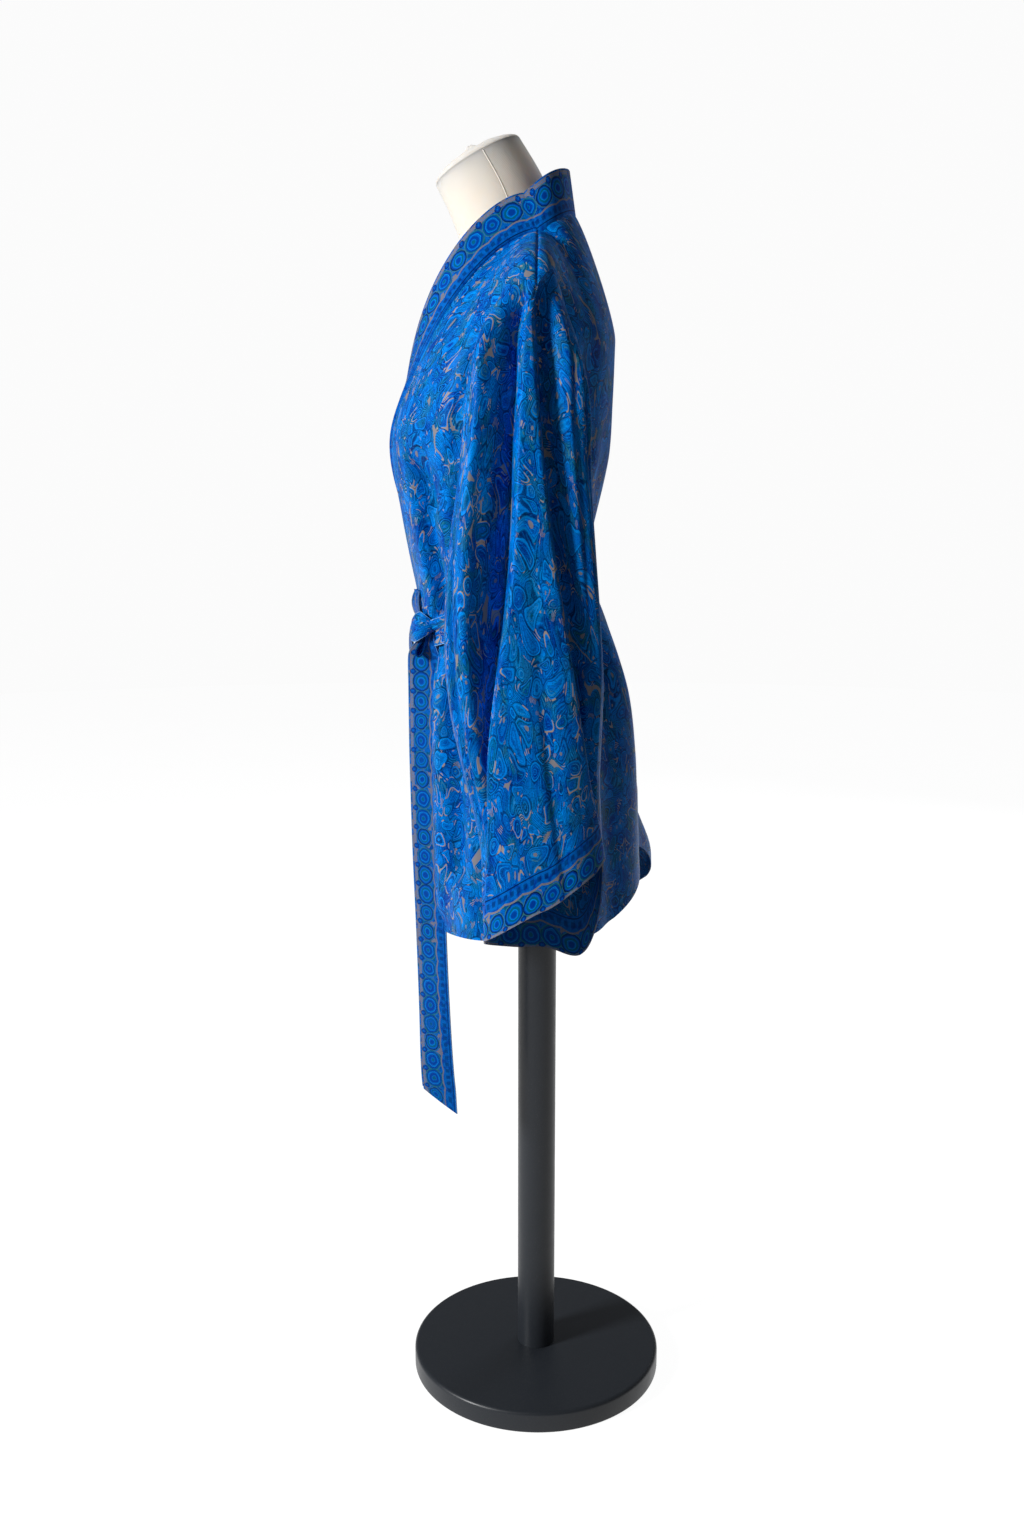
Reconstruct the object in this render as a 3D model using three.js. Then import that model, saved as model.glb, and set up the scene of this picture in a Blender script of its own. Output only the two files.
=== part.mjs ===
// Kimono jacket with its sash, hanging on a limbless dress form with a round post and base.
// Millimetres, +Z up. The origin is the centre of the base's underside, on the floor.
// The jacket's front faces -Y and the wearer's left is +X.

import * as THREE from 'three';

// ---------------------------------------------------------------- driving sizes

const CLOTH = 2; // wall of the silk panels
const BAND = 3; // wall of the folded front band, cuffs and sash
const SEAM = 0.15; // each edge stops this short of its seam
const LOOSE_SEAM = 0.48; // and this short where the seam turns sharply
const WRAP_LIFT = 4.5; // how far the left front stands out where it laps over the right front
const WRAP_SINK = 2.5; // and how far the right front is pressed in below it
const BAND_PROUD = 0.5; // the front band stands this far over its panel
const BAND_WIDTH = 48;
const CUFF_WIDTH = 46;
const SASH_WIDTH = 34; // the sash is crushed to this width round the waist
const FORM_CLEAR = 0.4; // the form's clearance below the cloth that rests on it

const BASE = { radius: 160, height: 27, edge: 5 };
const POST = { radius: 24, clear: 0.3, socketTop: 770, sides: 36 };
const FORM_BOTTOM = 712;

const NECK_SIDE = { x: 85, y: -3, z: 1412 }; // high point of the shoulder
const NECK_BACK = { y: 40, z: 1443 }; // centre back of the neckline
const NECK_FRONT = { y: -88, z: 1392 }; // where the closed neckline would pass in front
const NECK_SIDE_ANGLE = 50; // degrees round the body from the centre front
const ARMHOLE = { front: 21, back: 30, bottomLevel: 2.6 }; // half-openings in degrees

const table = (columns, rows) =>
  rows.map((row) => Object.fromEntries(columns.map((name, index) => [name, row[index]])));

// The shoulder line from the neck to the top of the armhole.
const SHOULDER = table(
  ['x', 'y', 'z'],
  [
    [NECK_SIDE.x, NECK_SIDE.y, NECK_SIDE.z],
    [125, -4, 1396],
    [163, -5, 1375],
    [190, -6, 1338],
  ],
);

// Rings round the body, one for each level. Levels are tilted: zFront in front, zBack behind.
const BODY_RINGS = table(
  ['name', 'zFront', 'zBack', 'front', 'back', 'side', 'middle', 'square'],
  [
    ['chest', 1255, 1300, -149, 88, 180, -25, 2.3],
    ['bust', 1188, 1235, -169, 86, 174, -30, 2.3],
    ['ribs', 1105, 1168, -158, 82, 160, -30, 2.3],
    ['pouch', 1022, 1088, -142, 66, 143, -28, 2.3],
    ['waist', 966, 1043, -127, 56, 130, -28, 2.2],
    ['highHip', 905, 978, -127, 84, 147, -15, 2.3],
    ['hip', 845, 905, -126, 109, 162, -5, 2.3],
    ['seat', 775, 830, -125, 119, 168, 0, 2.3],
    ['thigh', 700, 765, -122, 122, 171, 0, 2.3],
    ['hem', 615, 700, -116, 125, 173, 0, 2.3],
  ],
);
const WAIST_LEVEL = 5;
const LAST_LEVEL = BODY_RINGS.length;

// Height of the hem round the body: it dips on the wearer's right and rises behind.
const HEM = table(
  ['around', 'z'],
  [
    [-180, 697],
    [-160, 640],
    [-135, 590],
    [-105, 560],
    [-45, 572],
    [0, 600],
    [45, 619],
    [90, 622],
    [135, 641],
    [160, 678],
  ],
);

// The edge where the front band is sewn to the front: degrees past the centre front by level.
const FRONT_EDGE = table(
  ['level', 'around'],
  [
    [0, NECK_SIDE_ANGLE],
    [0.5, 36],
    [1, 22],
    [2, 9],
    [3, -6],
    [4, -16],
    [5, -22],
    [7, -28],
    [10, -37],
  ],
);

// Folds of the body: ridges are positive. Where they run from one level to another.
const BODY_FOLDS = table(
  ['from', 'to', 'aroundFrom', 'aroundTo', 'width', 'height'],
  [
    [1.2, 4.6, 52, 30, 11, -7],
    [1.6, 4.7, -46, -32, 12, -6],
    [2.2, 4.8, 66, 46, 8, 6],
    [2.6, 4.8, -60, -44, 9, 5],
    [5.2, 10.6, 60, 68, 10, -12],
    [5.2, 10.6, 38, 46, 9, 5],
    [5.4, 10.6, -50, -56, 11, -9],
    [5.3, 10.6, 128, 132, 10, -8],
    [5.4, 10.8, 150, 154, 11, 5],
    [5.6, 10.6, 172, 176, 8, -8],
    [8.3, 11.6, -163, -163, 15, 30],
    [5.3, 10.6, -126, -128, 11, -8],
    [2.4, 4.7, 158, 166, 9, -3],
    [2.2, 4.7, -150, -166, 10, -3],
  ],
);

// Rings of the left sleeve from the shoulder to the wrist: the outer, inner, front and back line.
const SLEEVE_RINGS = table(
  ['outerX', 'outerZ', 'innerX', 'innerZ', 'frontY', 'frontZ', 'backY', 'backZ'],
  [
    [206, 1300, 177, 1085, -80, 1222, 50, 1210],
    [221, 1240, 179, 1020, -88, 1135, 52, 1130],
    [234, 1165, 180, 955, -99, 1052, 57, 1062],
    [245, 1075, 183, 890, -104, 974, 62, 1000],
    [252, 975, 185, 825, -99, 905, 66, 935],
    [257, 880, 186, 765, -84, 832, 65, 878],
    [260, 795, 186, 718, -69, 758, 64, 826],
  ],
);

const UNDERARM_CLEAR = 3; // the sleeve swings out from the body by this much under the arm

// The open end of the left sleeve: height round it, from the outer line over the front.
const CUFF_MOUTH = {
  outerX: 262,
  innerX: 186,
  frontY: -66,
  backY: 71,
  edge: table(
    ['around', 'z'],
    [
      [0, 688],
      [45, 658],
      [90, 641],
      [135, 630],
      [180, 626],
      [215, 617],
      [240, 656],
      [270, 735],
      [315, 722],
    ],
  ),
};

// Long folds of the sleeve, as degrees round it at the shoulder, half way and at the wrist.
const SLEEVE_FOLDS = table(
  ['top', 'middle', 'wrist', 'width', 'depthTop', 'depthMiddle', 'depthWrist'],
  [
    [18, 23, 62, 10, -13, -17, -7],
    [-15, -33, -66, 10, -10, -15, -5],
    [48, 52, 80, 12, 3, 6, 2],
    [150, 165, 160, 16, -3, -8, -6],
    [222, 215, 216, 12, 2, 5, 3],
  ],
);

const RIGHT_FOLD_SHIFT = 7; // the right sleeve's folds lie a little further round

// The two ends of the sash: where the middle of each hangs, its width and how far it is turned.
const LONG_TAIL = table(
  ['x', 'y', 'z', 'width', 'turn'],
  [
    [63, -139, 952, 28, 40],
    [62, -142, 925, 40, 46],
    [61, -141.5, 860, 45, 49],
    [61, -141, 780, 45, 51],
    [61, -140, 690, 46, 53],
    [61, -136, 600, 46, 56],
    [60, -130, 500, 46, 60],
    [60, -125.5, 430, 46, 63],
    [60, -122, 387, 46, 65],
  ],
);
const SHORT_TAIL = table(
  ['x', 'y', 'z', 'width', 'turn'],
  [
    [42, -145, 952, 22, 14],
    [32, -151, 915, 38, 15],
    [25, -153, 850, 45, 18],
    [24, -153, 785, 45, 20],
    [24, -153, 735, 45, 20],
  ],
);
const TAIL_SLANT = 13; // how far the cut end drops from the middle to one side

const KNOT = { x: 56, y: -139.7, z: 972, halfX: 18, halfY: 7, halfZ: 19.5, turn: 26 };
const LOOP = { x: 49, halfWidth: 20, top: 1019, bottom: 991.9, front: -150, depth: 5.4 };

// Rings of the dress form above the jacket's chest, each tilted forward by some degrees.
const FORM_RINGS = table(
  ['y', 'z', 'depth', 'width', 'tilt', 'square'],
  [
    [-73, 1506, 54.4, 51, 28, 2],
    [-52, 1470, 57, 52, 20, 2],
    [-39, 1440, 58, 54, 17, 2],
    [-30, 1418, 58, 62, 12, 1.9],
    [-22, 1401, 50, 82, 8, 1.6],
    [-18, 1386, 48, 112, 5, 1.4],
    [-16, 1368, 55, 143, 3, 1.6],
    [-18, 1340, 70, 162, 2, 1.8],
  ],
);
const NECK_CAP = { thickness: 3, dome: 5, gather: 9, ring: 30 };
const FORM_COLUMNS = 40;

// ---------------------------------------------------------------- colours

const SILK = { color: 0x0a5fc4, roughness: 0.45, metalness: 0 };
const BORDER = { color: 0x0b4fae, roughness: 0.42, metalness: 0 };
const CALICO = { color: 0xebe4d8, roughness: 0.85, metalness: 0 };
const BLACK_SATIN = { color: 0x23262b, roughness: 0.4, metalness: 0.1 };

// ---------------------------------------------------------------- small maths

const radians = THREE.MathUtils.degToRad;
const clamp = THREE.MathUtils.clamp;
const mix = THREE.MathUtils.lerp;
const smooth = (from, to, value) => {
  const share = clamp((value - from) / (to - from), 0, 1);
  return share * share * (3 - 2 * share);
};
const power = (value, exponent) => Math.sign(value) * Math.abs(value) ** exponent;

function cubic(before, start, end, after, share) {
  const rise = (end - before) / 2;
  const fall = (after - start) / 2;
  const bend = 2 * start - 2 * end + rise + fall;
  const turn = 3 * end - 3 * start - 2 * rise - fall;
  return ((bend * share + turn) * share + rise) * share + start;
}

// A smooth value through the rows of a table column, at a whole or broken row number.
function column(rows, name, position) {
  const start = clamp(Math.floor(position), 0, rows.length - 2);
  const at = (index) => {
    if (index < 0) return 2 * rows[0][name] - rows[1][name];
    if (index >= rows.length) return 2 * rows[rows.length - 1][name] - rows[rows.length - 2][name];
    return rows[index][name];
  };
  return cubic(at(start - 1), at(start), at(start + 1), at(start + 2), position - start);
}

// A value part way between two neighbours of a plain list.
function between(list, position) {
  const start = clamp(Math.floor(position), 0, list.length - 2);
  return mix(list[start], list[start + 1], position - start);
}

// The row number at which a rising key column takes a value.
function rowAt(rows, key, value) {
  let start = 0;
  while (start < rows.length - 2 && rows[start + 1][key] < value) start += 1;
  return start + (value - rows[start][key]) / (rows[start + 1][key] - rows[start][key]);
}

// A smooth value round a closed table whose key is an angle in degrees.
function roundTable(rows, name, angle) {
  const count = rows.length;
  const first = rows[0].around;
  const turned = first + ((((angle - first) % 360) + 360) % 360);
  let start = 0;
  while (start < count - 1 && rows[start + 1].around <= turned) start += 1;
  const next = start + 1 < count ? rows[start + 1].around : first + 360;
  const share = (turned - rows[start].around) / (next - rows[start].around);
  const at = (index) => rows[(index + count) % count][name];
  return cubic(at(start - 1), at(start), at(start + 1), at(start + 2), share);
}

// ---------------------------------------------------------------- walls from a surface

// The outward normal of surface(u, v), by small steps either way.
function normalOf(surface, u, v, stepU, stepV) {
  const alongU = surface(u + stepU, v).sub(surface(u - stepU, v));
  const alongV = surface(u, v + stepV).sub(surface(u, v - stepV));
  return alongV.cross(alongU).normalize();
}

// Two skins, a cloth's thickness apart, joined along every free edge.
function wall(outer, inner, closedAround) {
  const rows = outer.length;
  const columns = outer[0].length;
  const positions = [];
  for (const skin of [outer, inner]) {
    for (const row of skin) row.forEach((point) => positions.push(point.x, point.y, point.z));
  }
  const at = (skin, row, index) => skin * rows * columns + row * columns + (index % columns);
  const faces = [];
  const quad = (a, b, c, d) => faces.push(a, b, c, a, c, d);
  const lastColumn = closedAround ? columns : columns - 1;
  for (let row = 0; row < rows - 1; row += 1) {
    for (let index = 0; index < lastColumn; index += 1) {
      quad(at(0, row, index), at(0, row + 1, index), at(0, row + 1, index + 1), at(0, row, index + 1));
      quad(at(1, row, index), at(1, row, index + 1), at(1, row + 1, index + 1), at(1, row + 1, index));
    }
    if (!closedAround) {
      quad(at(0, row, 0), at(1, row, 0), at(1, row + 1, 0), at(0, row + 1, 0));
      const last = columns - 1;
      quad(at(0, row, last), at(0, row + 1, last), at(1, row + 1, last), at(1, row, last));
    }
  }
  for (let index = 0; index < lastColumn; index += 1) {
    const bottom = rows - 1;
    quad(at(0, 0, index), at(0, 0, index + 1), at(1, 0, index + 1), at(1, 0, index));
    quad(at(0, bottom, index), at(1, bottom, index), at(1, bottom, index + 1), at(0, bottom, index + 1));
  }
  return facingOut(positions, faces);
}

// A closed geometry with its faces turned to point out.
function facingOut(positions, faces) {
  const corner = (index) => new THREE.Vector3().fromArray(positions, 3 * index);
  let volume = 0;
  for (let face = 0; face < faces.length; face += 3) {
    const [a, b, c] = [corner(faces[face]), corner(faces[face + 1]), corner(faces[face + 2])];
    volume += a.dot(b.cross(c));
  }
  if (volume < 0) faces.reverse();
  const geometry = new THREE.BufferGeometry();
  geometry.setAttribute('position', new THREE.Float32BufferAttribute(positions, 3));
  geometry.setIndex(faces);
  geometry.computeVertexNormals();
  return geometry;
}

// Moves the edge points of a grid towards their neighbours, by a distance for each sewn edge.
function drawBack(grid, { top = 0, bottom = 0, first = 0, last = 0 }) {
  const pull = (point, neighbour, distance) => {
    const step = neighbour.clone().sub(point);
    point.addScaledVector(step.normalize(), distance);
  };
  const rows = grid.length;
  const columns = grid[0].length;
  grid[0].forEach((point, index) => pull(point, grid[1][index], top));
  grid[rows - 1].forEach((point, index) => pull(point, grid[rows - 2][index], bottom));
  grid.forEach((row) => pull(row[0], row[1], first));
  grid.forEach((row) => pull(row[columns - 1], row[columns - 2], last));
}

// A panel: params[row][column] are places [u, v] on the surface, thickness is measured inwards.
function panel(surface, params, thickness, edges, closedAround = false, steps = [0.4, 0.02]) {
  const outer = params.map((row) => row.map(([u, v]) => surface(u, v)));
  const inner = params.map((row, j) =>
    row.map(([u, v], i) => {
      const normal = normalOf(surface, u, v, steps[0], steps[1]);
      return outer[j][i].clone().addScaledVector(normal, -thickness);
    }),
  );
  drawBack(outer, edges);
  drawBack(inner, edges);
  return wall(outer, inner, closedAround);
}

// A solid through closed rings of points, closed by a fan at each end.
function loft(rings) {
  const columns = rings[0].length;
  const positions = rings.flat().flatMap((point) => [point.x, point.y, point.z]);
  const faces = [];
  const at = (ring, index) => ring * columns + (index % columns);
  for (let ring = 0; ring < rings.length - 1; ring += 1) {
    for (let index = 0; index < columns; index += 1) {
      const [a, b] = [at(ring, index), at(ring, index + 1)];
      const [c, d] = [at(ring + 1, index + 1), at(ring + 1, index)];
      faces.push(a, b, c, a, c, d);
    }
  }
  const fan = (ring, turned) => {
    const centre = new THREE.Vector3();
    rings[ring].forEach((point) => centre.addScaledVector(point, 1 / columns));
    const hub = positions.length / 3;
    positions.push(centre.x, centre.y, centre.z);
    for (let index = 0; index < columns; index += 1) {
      const edge = [at(ring, index), at(ring, index + 1)];
      faces.push(hub, ...(turned ? edge.reverse() : edge));
    }
  };
  fan(0, true);
  fan(rings.length - 1, false);
  return facingOut(positions, faces);
}

const spread = (from, to, count) =>
  Array.from({ length: count }, (_, index) => mix(from, to, index / (count - 1)));

// ---------------------------------------------------------------- the body's surface

// A point on one ring of the body.
function ringPoint(around, level) {
  const row = level - 1;
  const bend = 2 / column(BODY_RINGS, 'square', row);
  const cosine = Math.cos(radians(around));
  const sine = Math.sin(radians(around));
  const middle = column(BODY_RINGS, 'middle', row);
  const reach = column(BODY_RINGS, cosine >= 0 ? 'front' : 'back', row) - middle;
  const x = column(BODY_RINGS, 'side', row) * power(sine, bend);
  const y = middle + reach * Math.abs(cosine) ** bend;
  return new THREE.Vector3(x, y, ringHeight(around, level));
}

function ringHeight(around, level) {
  const backShare = (1 - Math.cos(radians(around))) / 2;
  const seat = 8;
  const levelHeight = (at) =>
    mix(column(BODY_RINGS, 'zFront', at - 1), column(BODY_RINGS, 'zBack', at - 1), backShare);
  if (level <= seat) return levelHeight(level);
  const hem = roundTable(HEM, 'z', around);
  return mix(levelHeight(seat), hem, (level - seat) / (LAST_LEVEL - seat));
}

// The closed line over the shoulders and round the neck that the whole body hangs from.
function topPoint(around) {
  const side = Math.sign(around) || 1;
  const angle = Math.abs(around);
  const backNeckAngle = 180 - NECK_SIDE_ANGLE;
  if (angle < NECK_SIDE_ANGLE || angle > backNeckAngle) {
    const end = angle < 90 ? NECK_FRONT : NECK_BACK;
    const fromEnd = angle < 90 ? angle : 180 - angle;
    const turn = (fromEnd / NECK_SIDE_ANGLE) * (Math.PI / 2);
    const y = NECK_SIDE.y + (end.y - NECK_SIDE.y) * Math.cos(turn);
    const z = NECK_SIDE.z + (end.z - NECK_SIDE.z) * Math.cos(turn);
    return new THREE.Vector3(side * NECK_SIDE.x * Math.sin(turn), y, z);
  }
  const fromNeck = angle < 90 ? angle - NECK_SIDE_ANGLE : backNeckAngle - angle;
  const row = (fromNeck / (90 - NECK_SIDE_ANGLE)) * (SHOULDER.length - 1);
  const x = side * column(SHOULDER, 'x', row);
  return new THREE.Vector3(x, column(SHOULDER, 'y', row), column(SHOULDER, 'z', row));
}

// The body with no folds: rings from the chest down, and a smooth curve over the shoulders above.
function plainBody(around, level) {
  if (level >= 1) return ringPoint(around, level);
  const top = topPoint(around);
  const chest = ringPoint(around, 1);
  const down = ringPoint(around, 1.05).sub(chest).multiplyScalar(20);
  const forward = new THREE.Vector3(0, Math.abs(around) < 90 ? -110 : 95, 0);
  const underCollar = new THREE.Vector3(0, 40, -45);
  if (Math.abs(around) > 90) forward.lerp(underCollar, smooth(128, 165, Math.abs(around)));
  const s = level;
  return top
    .multiplyScalar(2 * s ** 3 - 3 * s ** 2 + 1)
    .addScaledVector(forward, s ** 3 - 2 * s ** 2 + s)
    .addScaledVector(chest, -2 * s ** 3 + 3 * s ** 2)
    .addScaledVector(down, s ** 3 - s ** 2);
}

function foldHeight(around, level) {
  let height = 0;
  for (const fold of BODY_FOLDS) {
    const share = (level - fold.from) / (fold.to - fold.from);
    if (share <= 0 || share >= 1) continue;
    const centre = mix(fold.aroundFrom, fold.aroundTo, share);
    const away = ((((around - centre) % 360) + 540) % 360) - 180;
    const ends = smooth(0, 0.4, share) * (1 - smooth(0.93, 1, share));
    height += fold.height * ends * Math.exp(-((away / fold.width) ** 2));
  }
  return height;
}

// The body's cloth, moved out by the folds and by a lift of its own.
function bodyPoint(around, level, lift = 0) {
  const normal = normalOf(plainBody, around, level, 0.4, 0.02);
  return plainBody(around, level).addScaledVector(normal, foldHeight(around, level) + lift);
}

// The left front (side 1) stands over the right one (side -1) where they overlap.
function wrapLift(side, around, level) {
  const lift = side > 0 ? WRAP_LIFT : -WRAP_SINK;
  return lift * (1 - smooth(42, 78, around)) * smooth(0.4, 1.3, level);
}

// ---------------------------------------------------------------- body panels

const ARMHOLE_LEVELS = [0, 0.2, 0.4, 0.6, 0.8, 1, 1.3, 1.6, 1.9, 2.2, 2.4, ARMHOLE.bottomLevel];
const BODY_LEVELS = [...ARMHOLE_LEVELS, 3, 3.5, 4, 4.4, 4.7, 5, 5.3, 5.7, 6.3, 7, 8, 9, 10];

const frontEdge = (level) => column(FRONT_EDGE, 'around', rowAt(FRONT_EDGE, 'level', level));

// How far the armhole's edge stands from the side seam, in degrees.
function armholeOpening(level, width) {
  if (level >= ARMHOLE.bottomLevel) return 0;
  return width * Math.sin((Math.PI * level) / ARMHOLE.bottomLevel) ** 0.9;
}

function frontPanel(side) {
  const surface = (u, level) => bodyPoint(side * u, level, wrapLift(side, u, level));
  const params = BODY_LEVELS.map((level) => {
    const seam = 90 - armholeOpening(level, ARMHOLE.front);
    return spread(frontEdge(level), seam, 12).map((around) => [around, level]);
  });
  return panel(surface, params, CLOTH * side, { top: SEAM, first: SEAM, last: SEAM });
}

function backPanel() {
  const params = BODY_LEVELS.map((level) => {
    const seam = 90 + armholeOpening(level, ARMHOLE.back);
    return spread(seam, 360 - seam, 19).map((around) => [around > 180 ? around - 360 : around, level]);
  });
  const surface = (u, v) => bodyPoint(u > 180 ? u - 360 : u, v);
  return panel(surface, params, CLOTH, { top: SEAM, first: SEAM, last: SEAM });
}

// ---------------------------------------------------------------- front band

// Places along the band, from one hem up round the neck to the other: level runs down the fronts,
// and round the back of the neck the angle runs instead.
function bandStations() {
  const frontRun = [...BODY_LEVELS].reverse().map((level) => ({ level, around: frontEdge(level) }));
  const neckRun = spread(180 - NECK_SIDE_ANGLE, 180, 6).slice(1).map((around) => ({ level: 0, around }));
  const half = [...frontRun, ...neckRun];
  const mirrored = half.slice(0, -1).reverse();
  return [
    ...half.map((station) => ({ ...station, side: 1 })),
    ...mirrored.map((station) => ({ ...station, side: -1 })),
  ];
}

// The seam that joins the band to the fronts and to the back's neckline.
function bandSeam({ level, around, side }) {
  if (around > 90) return topPoint(side * around);
  return bodyPoint(side * around, level, wrapLift(side, around, level) + BAND_PROUD * smooth(0, 0.4, level));
}

// A point across the band: it lies on the chest and stands up round the neck.
function bandPoint(station, share) {
  const { level, around, side } = station;
  const seam = bandSeam(station);
  const standing = smooth(1.15, 0, level);
  const neckShare = clamp((around - 180 + NECK_SIDE_ANGLE) / NECK_SIDE_ANGLE, 0, 1);
  const inwards = mix(0.47, 0, smooth(0, 0.75, neckShare));
  const forwards = mix(-0.02, -0.15, neckShare);
  const rise = new THREE.Vector3(-side * inwards, forwards, 0.9).normalize();
  const stood = seam.clone().addScaledVector(rise, BAND_WIDTH * share);
  if (standing >= 1) return stood;
  const lift = wrapLift(side, around, level) + BAND_PROUD;
  const onBody = (angle) => bodyPoint(side * angle, level, lift);
  const perDegree = onBody(around - 1).distanceTo(onBody(around));
  const laid = onBody(around - (BAND_WIDTH * share) / perDegree);
  return laid.lerp(stood, standing);
}

function frontBand() {
  const stations = bandStations();
  const across = [0, 0.33, 0.67, 1];
  const outer = stations.map((station) => across.map((share) => bandPoint(station, share)));
  const inner = outer.map((row, j) =>
    row.map((point, i) => {
      const next = outer[Math.min(j + 1, outer.length - 1)][i];
      const last = outer[Math.max(j - 1, 0)][i];
      const up = row[Math.min(i + 1, across.length - 1)];
      const down = row[Math.max(i - 1, 0)];
      const normal = next.clone().sub(last).cross(up.clone().sub(down)).normalize();
      return point.clone().addScaledVector(normal, -BAND);
    }),
  );
  drawBack(outer, { first: LOOSE_SEAM });
  drawBack(inner, { first: LOOSE_SEAM });
  return wall(outer, inner, false);
}

// ---------------------------------------------------------------- sleeves

// The armhole's edge, from the shoulder down its front, under the arm and up its back.
// Both sleeves are worked out on the left, and the right one is turned over at the end.
function armholePoint(side, around) {
  const inFront = around <= 180;
  const fromTop = inFront ? around : 360 - around;
  const level = between(ARMHOLE_LEVELS, (fromTop / 180) * (ARMHOLE_LEVELS.length - 1));
  const opening = armholeOpening(level, inFront ? ARMHOLE.front : ARMHOLE.back);
  const angle = inFront ? 90 - opening : 90 + opening;
  const point = bodyPoint(side * angle, level, inFront ? wrapLift(side, angle, level) : 0);
  point.x *= side;
  return point;
}

// A ring of the sleeve: the four lines give its plane and its reach.
function sleeveRing(ring, around) {
  const cosine = Math.cos(radians(around));
  const sine = Math.sin(radians(around));
  const middleY = (ring.frontY + ring.backY) / 2;
  const halfY = (ring.backY - ring.frontY) / 2;
  const level = (ring.outerZ + ring.innerZ + ring.frontZ + ring.backZ) / 4;
  const acrossZ = (ring.outerZ - ring.innerZ) / 2;
  const forwardZ = (ring.frontZ - ring.backZ) / 2;
  const bowZ = (ring.outerZ + ring.innerZ - ring.frontZ - ring.backZ) / 4;
  const x = (ring.outerX + ring.innerX) / 2 + ((ring.outerX - ring.innerX) / 2) * power(cosine, 0.85);
  const z = level + acrossZ * cosine + forwardZ * sine + bowZ * Math.cos(radians(2 * around));
  return new THREE.Vector3(x, middleY - halfY * power(sine, 0.9), z);
}

function cuffMouth(around) {
  const { outerX, innerX, frontY, backY, edge } = CUFF_MOUTH;
  const level = { outerX, innerX, frontY, backY, outerZ: 0, innerZ: 0, frontZ: 0, backZ: 0 };
  const point = sleeveRing(level, around);
  point.z = roundTable(edge, 'z', around);
  return point;
}

const CUFF_SEAM = SLEEVE_RINGS.length + 1;
const SLEEVE_END = CUFF_SEAM + 1;

// Ring 0 is the armhole, then the table's rings, the cuff's seam and the open end.
function sleeveStation(side, index, around) {
  if (index <= 0) return armholePoint(side, around);
  if (index <= SLEEVE_RINGS.length) return sleeveRing(SLEEVE_RINGS[index - 1], around);
  const mouth = cuffMouth(around);
  if (index >= SLEEVE_END) return mouth;
  const above = sleeveRing(SLEEVE_RINGS[SLEEVE_RINGS.length - 1], around);
  return mouth.add(above.sub(mouth).setLength(CUFF_WIDTH));
}

function plainSleeve(side, around, along) {
  const turned = ((around % 360) + 360) % 360;
  const start = clamp(Math.floor(along), 0, SLEEVE_END - 1);
  const at = (index) => {
    if (index < 0) return at(0).multiplyScalar(2).sub(at(1));
    return sleeveStation(side, Math.min(index, SLEEVE_END), turned);
  };
  const [before, from, to, after] = [at(start - 1), at(start), at(start + 1), at(start + 2)];
  const share = along - start;
  const blend = (axis) => cubic(before[axis], from[axis], to[axis], after[axis], share);
  const underArm = (1 - Math.cos(radians(turned))) / 2;
  const clear = UNDERARM_CLEAR * underArm * smooth(0, 0.5, along) * (1 - smooth(1, 2.4, along));
  return new THREE.Vector3(blend('x') + clear, blend('y'), blend('z'));
}

const threeWay = (start, middle, end, share) =>
  share < 0.5 ? mix(start, middle, smooth(0, 1, share * 2)) : mix(middle, end, smooth(0, 1, share * 2 - 1));

function sleeveFold(side, around, along) {
  const share = along / SLEEVE_END;
  const shift = side > 0 ? 0 : RIGHT_FOLD_SHIFT;
  let height = 0;
  for (const fold of SLEEVE_FOLDS) {
    const centre = threeWay(fold.top, fold.middle, fold.wrist, share) + shift;
    const depth = threeWay(fold.depthTop, fold.depthMiddle, fold.depthWrist, share);
    const away = ((((around - centre) % 360) + 540) % 360) - 180;
    height += depth * Math.exp(-((away / fold.width) ** 2));
  }
  return height * smooth(0.2, 1.6, along);
}

function sleevePoint(side, around, along) {
  const plain = (u, v) => plainSleeve(side, u, v);
  const normal = normalOf(plain, around, along, 0.6, 0.02).negate();
  return plain(around, along).addScaledVector(normal, sleeveFold(side, around, along));
}

const SLEEVE_COLUMNS = 2 * (ARMHOLE_LEVELS.length - 1);
const SLEEVE_ANGLES = Array.from({ length: SLEEVE_COLUMNS }, (_, index) => (360 * index) / SLEEVE_COLUMNS);

function sleeveTube(side, stations, thickness, edges) {
  const surface = (around, along) => {
    const point = sleevePoint(side, around, along);
    point.x *= side;
    return point;
  };
  const params = stations.map((along) => SLEEVE_ANGLES.map((around) => [around, along]));
  return panel(surface, params, -thickness * side, edges, true, [0.6, 0.02]);
}

const SLEEVE_STATIONS = [0, 0.35, 0.8, 1.4, 2, 2.7, 3.4, 4.1, 4.8, 5.5, 6.2, 7, CUFF_SEAM];
const sleeve = (side) => sleeveTube(side, SLEEVE_STATIONS, CLOTH, { top: LOOSE_SEAM, bottom: LOOSE_SEAM });
const cuff = (side) => sleeveTube(side, [CUFF_SEAM, CUFF_SEAM + 0.5, SLEEVE_END], BAND, { top: LOOSE_SEAM });

// ---------------------------------------------------------------- sash

// How far the sash's inner face stands off the body's cloth: further where the fronts overlap.
function sashStandOff(around) {
  const overWrap = 1 - smooth(84, 118, Math.abs(around - 12));
  return 1.1 + (WRAP_LIFT + BAND_PROUD) * overWrap;
}

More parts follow.
